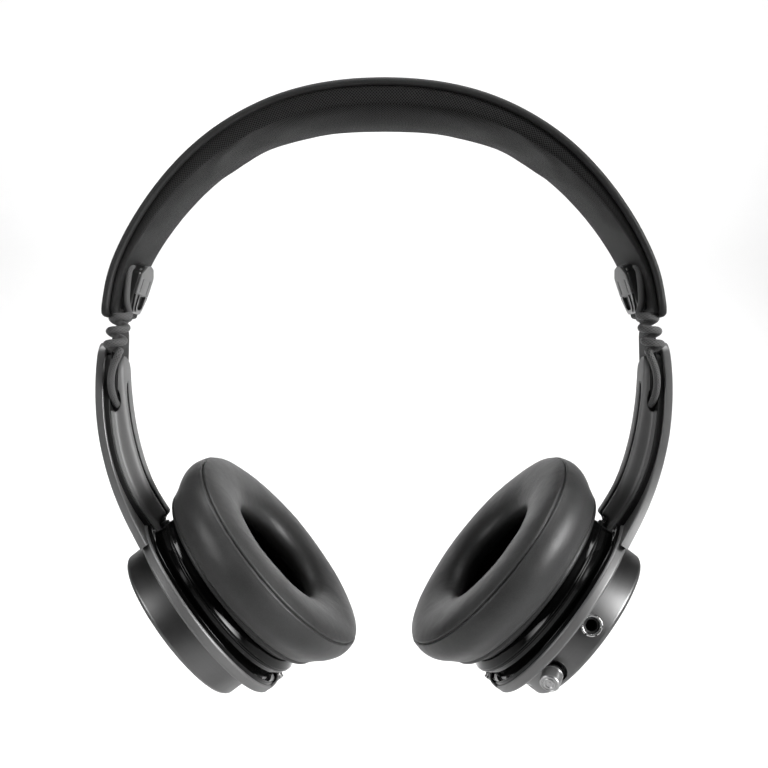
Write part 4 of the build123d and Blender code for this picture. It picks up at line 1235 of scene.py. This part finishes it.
def cup_mesh(side):
    """Gloss cup body with a double edge line, its side towards the arm cut flat for the pin."""
    profile = rounded([(0.0, 12.9), (20.0, 12.9), (24.4, 13.4), (30.2, 14.1), (31.2, 14.9), (31.2, 16.5),
                       (31.9, 18.0), (32.45, 19.7), (32.75, 20.15), (32.75, 20.35), (32.45, 20.6),
                       (32.75, 20.85), (32.75, 21.1), (32.3, 21.7), (31.3, 23.2), (30.7, 23.5), (28.6, 23.5)],
                      [3.0, 1.5, 1.0, 0.5, 0.8, 1.0, 0.3, 0.12, 0.12, 0.1, 0.12, 0.12, 0.3, 0.6, 0.3])
    theta = np.radians(np.concatenate([np.linspace(0, 140, 110, endpoint=False),
                                       np.linspace(140, 220, 140, endpoint=False),
                                       np.linspace(220, 360, 110, endpoint=False)]))
    g = on_cup(theta, profile[:, 0], profile[None, :, 1])
    over = (g - HUB) @ -T - 28.65
    soft = np.where(over > -0.6, np.where(over > 0.6, over, (over + 0.6) ** 2 / 2.4), 0.0)
    return Piece().grid(g + soft[..., None] * T, close_u=True).mesh(side, sharp=28)


def flange_piece():
    """Leather-covered flange that carries the cushion, tucked in under its back edge."""
    profile = rounded([(28.6, 27.5), (28.9, 25.7), (32.2, 25.5), (34.2, 25.75), (34.9, 26.5), (34.9, 28.2),
                       (34.4, 29.15), (26.4, 29.15)], [0.3, 1.0, 0.8, 0.5, 0.4, 0.3])
    theta = np.radians(np.arange(200) * 1.8)
    axial = profile[None, :, 1] + leaning(theta[:, None], profile[None, :, 0]) * 0.85
    return Piece().grid(on_cup(theta, profile[:, 0], axial), close_u=True)


def baffle_piece():
    """Stepped skirt between the cup and the flange."""
    profile = rounded([(20.4, 25.2), (20.4, 23.65), (28.3, 23.65), (28.3, 23.4), (30.8, 23.4), (30.8, 25.9),
                       (29.1, 25.9), (29.1, 27.5), (26.4, 27.5), (26.4, 25.2), (20.4, 25.2)],
                      [0.2, 0.1, 0.1, 0.25, 0.25, 0.1, 0.1, 0.1, 0.1])
    return lathe(profile, HUB2, N2, T, 192)


def driver_cloth_piece():
    """Domed cloth cover in the middle of the cushion."""
    profile = np.vstack([smooth_line([(27.5, 29.6), (22.0, 30.45), (11.0, 31.8), (0.0, 32.15)], 24),
                         smooth_line([(0.0, 31.75), (11.0, 31.4), (22.0, 30.05), (27.5, 29.25)], 24)])
    return lathe(profile, HUB2, N2, T, 144)


# ---------------------------------------------------------------- ear cushion
CUSHION = [(31.6, 26.6), (34.4, 26.65), (35.6, 27.5), (36.4, 29.0), (38.2, 32.0), (39.7, 36.4), (39.5, 39.4),
           (38.2, 42.0), (35.7, 43.5), (32.0, 44.3), (28.2, 44.4), (24.4, 43.9), (20.6, 42.6), (18.2, 40.6),
           (17.5, 38.6), (18.3, 36.4), (20.4, 34.4), (23.4, 32.6), (26.2, 31.3), (27.6, 30.2)]
SEAM_AT = 7
LEAN_DOWN = 1.62
LEAN_BACK = 1.88
CLOTH_GRID = (96, 40)
SLACK = 0.55
CUSHION_SEED = {"l": 11, "r": 23}
# waves that add up to the puckers: how many go round, and radians per mm across
PUCKERS = ((41, 0.5), (57, 0.8), (73, 0.7), (23, 0.3), (11, 0.2), (7, 0.15))


def leaning(theta, radius):
    """How far the cushion's ring stands off along its axis: a little deeper at the front and top."""
    return (LEAN_DOWN * np.cos(theta) + LEAN_BACK * np.sin(theta)) * radius / 40


def cushion_mesh(key, side, seed):
    """Stuffed ring in two leather panels that meet in a seam: blown up as cloth, then creased at the seam."""
    fine_s = np.linspace(0, 1, 901)
    fine = smooth_line(CUSHION, fine_s)
    k = np.argmin(np.linalg.norm(fine - np.array(CUSHION[SEAM_AT]), axis=1))
    total = length_of(fine)
    seam = fine_s[k] * total
    beside = np.array([0.1, 0.2, 0.34, 0.5, 0.7, 0.95, 1.3, 1.8])
    spread = np.concatenate([np.linspace(0, seam - 2.4, 16), seam - beside[::-1], [seam], seam + beside,
                             np.linspace(seam + 2.4, total, 44)])
    spread[:3] = 0.0, 0.35, 0.9
    rng = np.random.default_rng(seed)
    phases = rng.uniform(0, 2 * math.pi, (6, 2))

    def ring_grid(theta, s):
        prof = smooth_line(CUSHION, s / total)
        out = side_of(prof)
        rays = np.cos(theta)[:, None] * T + np.sin(theta)[:, None] * Y2
        pos = on_cup(theta, prof[:, 0], prof[None, :, 1] + leaning(theta[:, None], prof[None, :, 0]))
        return pos, out[None, :, 0, None] * rays[:, None, :] + out[None, :, 1, None] * N2

    theta = np.linspace(0, 2 * math.pi, 240, endpoint=False)
    pos, nor = ring_grid(theta, spread)
    # a limp, slightly uneven ring inside the full one, held at its two edges and its seam
    around, across = CLOTH_GRID
    coarse = np.linspace(0, total, across)
    start, normal = ring_grid(np.linspace(0, 2 * math.pi, around, endpoint=False), coarse)
    start = start - normal * SLACK
    pins = np.zeros(CLOTH_GRID)
    pins[:, :2] = 1
    pins[:, -3:] = 1
    pins[:, np.argmin(np.abs(coarse - seam))] = 0.9
    rough = rng.normal(0, 0.05, (around, across, 1))
    begin = start + normal * np.where(pins[..., None] > 0, 0, rough)
    end = inflate("cushion_cloth_" + key, begin, pins, 4.0, 2.2, 14.0, close_u=True)
    # most of the swelling is the same all round, and part of the uneven rest stays
    move = ((end - start) * normal).sum(2)
    even = move.mean(0)[None, :]
    move = (even + 0.3 * (move - even))[..., None]
    u = theta / (2 * math.pi) * around
    v = np.clip(spread / total * (across - 1), 0, across - 1.001)
    pos = pos + nor * (resample(move, u, v, True) - SLACK)
    # groove, its two lips, and small puckers that run out from the seam
    off = spread - seam
    groove = -0.5 * np.exp(-(off / 0.3) ** 2) + 0.14 * np.exp(-((np.abs(off) - 0.85) / 0.4) ** 2)
    base = -0.25 * np.exp(-((spread - 0.9) / 0.5) ** 2)
    wave = sum(np.cos(theta * f + p[0])[:, None] * np.cos(off * g + p[1])[None, :]
               for (f, g), p in zip(PUCKERS, phases))
    pucker = 0.03 * wave * np.exp(-(np.abs(off) / 3.2))[None, :]
    start = phases[:, 0]
    soft = 0.06 * (np.cos(theta * 5 + start[0])[:, None] * np.cos(spread * 0.21 + start[1])[None, :]
                   + np.cos(theta * 9 + start[2])[:, None] * np.cos(spread * 0.33 + start[3])[None, :])
    calm = np.clip(spread / 3, 0, 1)[None, :]
    pos = pos + nor * ((groove + base)[None, :] + pucker * calm + soft * calm)[..., None]
    piece = Piece().grid(pos, close_u=True, uv=(np.append(theta, 2 * math.pi) * 32, spread))
    return piece.grid(pos[:, [-1, 0]], close_u=True).mesh(side, sharp=70)


# ---------------------------------------------------------------- both sides
for key, side in SIDES.items():
    arm, cup = ("arm_left", "cup_left") if key == "l" else ("arm_right", "cup_right")
    shell = shell_piece().merge(lathe(ring_profile(), HUB, N, T, 224)).merge(hook_piece())
    for title, made, body, slot_name, finish, node in (
            ("block_moulding", block_piece(), "headband", "block_plastic", BLOCK, "slider_block"),
            ("block_lower_lip", lower_lip(), "headband", "block_plastic", BLOCK, None),
            ("block_plate", detent_piece(), "headband", "plate_satin", PLATE, "detent_plate"),
            ("slider_bent_blade", blade_piece(), arm, "blade_steel", BLADE, "slider_blade"),
            ("arm_outer_shell", shell, arm, "arm_metal", SHELL, "arm_shell"),
            ("arm_dark_strip", strip_piece(), arm, "strip_dark", STRIP, "channel_strip"),
            ("arm_ribbed_rail", rail_mesh(side), arm, "rail_satin", RAIL, "arm_rail"),
            # dark sheet over the rail's groove, in the strip's colour: painted shade, not a part
            ("arm_groove_shade_sheet", rail_piece(shade_sheet=True), arm, "strip_dark", STRIP, None),
            ("arm_gloss_dish", dish_piece(), arm, "frame_gloss", GLOSS, "arm_frame"),
            ("housing_turned_shell", housing_mesh(side), arm, "housing_metal", HOUSING, "outer_housing"),
            ("housing_outer_cap", cap_piece(), arm, "cap_satin", CAP, "housing_cap"),
            ("cup_gloss_body", cup_mesh(side), cup, "cup_gloss", GLOSS, "cup_shell"),
            ("arm_pin_bosses", bosses(((31.8, 33.0), (-32.6, -30.3)), 1.5), arm, "pin_steel", LUG, None),
            ("cup_pin_bosses", bosses(((26.6, 31.3), (-29.9, -28.0)), 1.9), cup, "pin_steel", LUG, None),
            ("block_hidden_screws", screw_pair(SLIDE + UP * 15.2, IN, 7.6, BLOCK_SCREW), "headband",
             "screw_steel", STEEL, "block_screws"),
            ("blade_flush_screws", screw_pair(np.array([-86.5, 0.0, 4.2 - CROWN]), X, 8.6, BLADE_SCREW), arm,
             "screw_steel", BLADE, "blade_screws"),
            ("cup_leather_flange", flange_piece(), cup, "flange_leather", FLANGE, "cup_flange"),
            ("cup_baffle_skirt", baffle_piece(), cup, "baffle_plastic", BAFFLE, "baffle"),
            ("driver_cloth_cover", driver_cloth_piece(), cup, "ear_cloth", CLOTH, "driver_cloth")):
        mesh = made.mesh(side) if isinstance(made, Piece) else made
        add_piece(title + "_" + key, mesh, body, finish, node and node + "_" + key)
    cushion = add_piece("ear_cushion_ring_" + key, cushion_mesh(key, side, CUSHION_SEED[key]), cup,
                        PILLOW, "ear_cushion_" + key)


# ---------------------------------------------------------------- controls on the right side
def notched_ring():
    """Chromed nut round the jack: chamfered, with six drive notches."""
    o, x, y, z = JACK
    profile = rounded([(2.52, 26.95), (2.52, 28.2), (2.75, 28.55), (3.2, 28.6), (3.47, 28.3), (3.47, 26.95),
                       (2.52, 26.95)], [0.08, 0.1, 0.12, 0.12, 0.05])
    ang = np.linspace(0, 2 * math.pi, 192, endpoint=False)
    across = ((ang * 6 / (2 * math.pi)) % 1 - 0.5) / 0.09
    notch = 0.5 * np.sqrt(np.maximum(1 - across ** 2, 0))
    rows = []
    for a, depth in zip(ang, notch):
        cut = np.where(profile[:, 0] > 2.9, depth * np.clip((profile[:, 1] - 27.6) / 0.2, 0, 1), 0)
        ray = math.cos(a) * x + math.sin(a) * y
        rows.append(o + (profile[:, 0] - cut)[:, None] * ray + profile[:, 1:2] * z)
    return Piece().grid(rows, close_u=True)


def jack_piece():
    """Socket body with its stepped bore."""
    o, x, _, z = JACK
    profile = rounded([(0.0, 14.0), (1.78, 14.0), (1.78, 27.6), (2.05, 27.95), (2.48, 28.0), (2.48, 25.4),
                       (2.7, 25.2), (2.7, 13.2), (0.0, 13.2)], [0.1, 0.15, 0.15, 0.1, 0.1, 0.2, 0.3])
    return lathe(profile, o, z, x, 72)


def port_piece():
    """Charging port: a drawn steel shell with the tongue inside."""
    o, x, y, z = PORT
    outer, inner = (stadium(long, wide, 17)[:, ::-1] * [-1, 1] for long, wide in ((8.9, 3.2), (8.3, 2.6)))
    tongue = rounded_box_ring(3.2, 0.34, 0.12)[:, ::-1]

    def at(ring, h):
        return o + ring[:, 0:1] * x + ring[:, 1:2] * y + z * h

    shell = skin([at(inner, 21.2), at(inner, 27.1), at((inner + outer) / 2, 27.3), at(outer, 27.2),
                  at(outer, 20.6)])
    tip = at(tongue * [0.8, 0.97], 26.45)
    return shell.merge(skin([at(tongue, 21.2), at(tongue, 26.2), tip], first=False))


def knob_piece():
    """Turned thumb knob: neck, barrel with a cut line near its foot, and rings cut in its end."""
    o, x, _, z = KNOB
    profile = rounded([(1.04, 27.0), (2.2, 27.0), (2.2, 28.3), (2.7, 28.45), (3.25, 28.9), (3.25, 29.3),
                       (3.09, 29.43), (3.09, 29.7), (3.25, 29.83), (3.25, 33.4), (2.9, 33.85), (2.6, 33.85),
                       (2.4, 33.6), (2.1, 33.6), (1.9, 33.88), (1.5, 33.88), (1.3, 33.65), (0.9, 33.65),
                       (0.7, 33.8), (0.0, 33.82)],
                      [0.1, 0.2, 0.2, 0.3, 0.1, 0.08, 0.08, 0.1, 0.3, 0.12] + [0.08] * 7 + [0.1])
    profile = np.vstack([profile, [(0.0, 32.8), (1.04, 32.8), (1.04, 27.0)]])
    return lathe(profile, o, z, x, 144)


def stem_piece():
    """Stem under the knob: a flanged pin that hangs on a cross pin in the gimbal ring."""
    o, x, y, z = KNOB
    profile = rounded([(0.0, 21.0), (1.7, 21.0), (1.7, 22.2), (0.98, 22.35), (0.98, 31.9), (0.0, 31.9)],
                      [0.15, 0.15, 0.2, 0.2])
    pin = rounded([(0.0, -2.8), (0.4, -2.8), (0.4, 2.8), (0.0, 2.8)], 0.1)
    return lathe(profile, o, z, x, 64).merge(lathe(pin, o + z * 21.6, x, y, 32))


def boot_piece():
    """Ribbed rubber diaphragm in the recess round the knob's stem."""
    o, x, _, z = KNOB
    profile = rounded([(1.72, 24.75), (1.72, 25.55), (2.2, 25.6), (2.6, 25.2), (3.0, 25.6), (3.5, 25.25),
                       (4.08, 25.6), (4.08, 24.7), (1.72, 24.75)], 0.15)
    return lathe(profile, o, z, x, 96)


for title, made, body, slot_name, finish, node in (
        ("jack_notched_nut", notched_ring(), "arm_right", "ring_chrome", CHROME, "jack_ring"),
        ("jack_socket_body", jack_piece(), "arm_right", "socket_plastic", PLASTIC, "jack_socket"),
        ("charge_port_shell", port_piece(), "arm_right", "port_steel", STEEL, "charge_port"),
        ("knob_ribbed_boot", boot_piece(), "arm_right", "boot_rubber", RUBBER, "knob_boot"),
        ("knob_flanged_stem", stem_piece(), "knob_stem", "knob_inner", STEEL, "knob_stem"),
        ("knob_turned_cap", knob_piece(), "knob_cap", "knob_metal", KNOB_METAL, "knob_cap")):
    add_piece(title, made.mesh(SIDES["r"]), body, finish, node)


# ---------------------------------------------------------------- floor, light and camera
def studio_white():
    """Painted backdrop, a touch uneven."""
    f = Finish("floor_white")
    f.colour(f.noise(3.0, 2, 0.5), (0.0, 0.82 * 0.985), (1.0, 0.82))
    f.shader.inputs["Roughness"].default_value = 0.85
    return f.material


def sweep_backdrop():
    """Pale floor that curves up into a backdrop behind the object."""
    low = CAD_BOX[0].z * 1000 - 190.0
    corner, turn = 700.0, 450.0
    prof = [(-1500.0, low), (corner, low)]
    prof += [(corner + turn * math.cos(a), low + turn * (1 + math.sin(a)))
             for a in np.radians(np.linspace(-90, 0, 17))]
    prof.append((corner + turn, low + 1500))
    rows = [[(x, y, z) for y, z in prof] for x in np.linspace(-1800, 1800, 9)]
    mesh = Piece().grid(rows).mesh(sharp=80, outward=False)
    mesh.materials.append(studio_white())
    put("floor_sweep", mesh)


def soft_box(name, place, target, size, watts, spread):
    light = bpy.data.lights.new(name, "AREA")
    light.shape = "RECTANGLE"
    light.size, light.size_y = size
    light.energy = watts
    light.spread = math.radians(spread)
    obj = put(name, light)
    obj.location = place
    obj.rotation_euler = (Vector(target) - Vector(place)).to_track_quat("-Z", "Y").to_euler()


sweep_backdrop()
MIDDLE = (0.0, 0.0, -CROWN * 0.001)
soft_box("key_right", (0.9, -0.45, 0.14), MIDDLE, (0.7, 1.0), 2.9, 38)
soft_box("fill_left", (-0.9, -0.45, 0.1), MIDDLE, (0.5, 1.0), 0.62, 38)
soft_box("top", (0.0, -0.05, 0.9), MIDDLE, (1.0, 0.4), 2.3, 80)
soft_box("wall_light", (0.0, 0.65, 0.75), (0.0, 1.12, 0.05), (1.3, 0.25), 5.6, 94)
soft_box("floor_light", (0.0, 0.88, 0.6), (0.0, 0.74, -0.37), (1.4, 0.25), 3.0, 80)

world = bpy.data.worlds.new("studio")
world.use_nodes = True
sky = world.node_tree.nodes["Background"]
sky.inputs["Color"].default_value = (1, 1, 1, 1)
sky.inputs["Strength"].default_value = 0.02
SCENE.world = world
SCENE.view_settings.view_transform = "Standard"

camera_data = bpy.data.cameras.new("camera")
camera_data.lens = 58.6
camera_data.sensor_width = 36.0
camera_data.clip_start = 0.01
camera = put("camera", camera_data)
camera.location = (0.0, -0.410, -CROWN * 0.001)
camera.rotation_euler = (math.radians(90), 0, 0)
SCENE.camera = camera
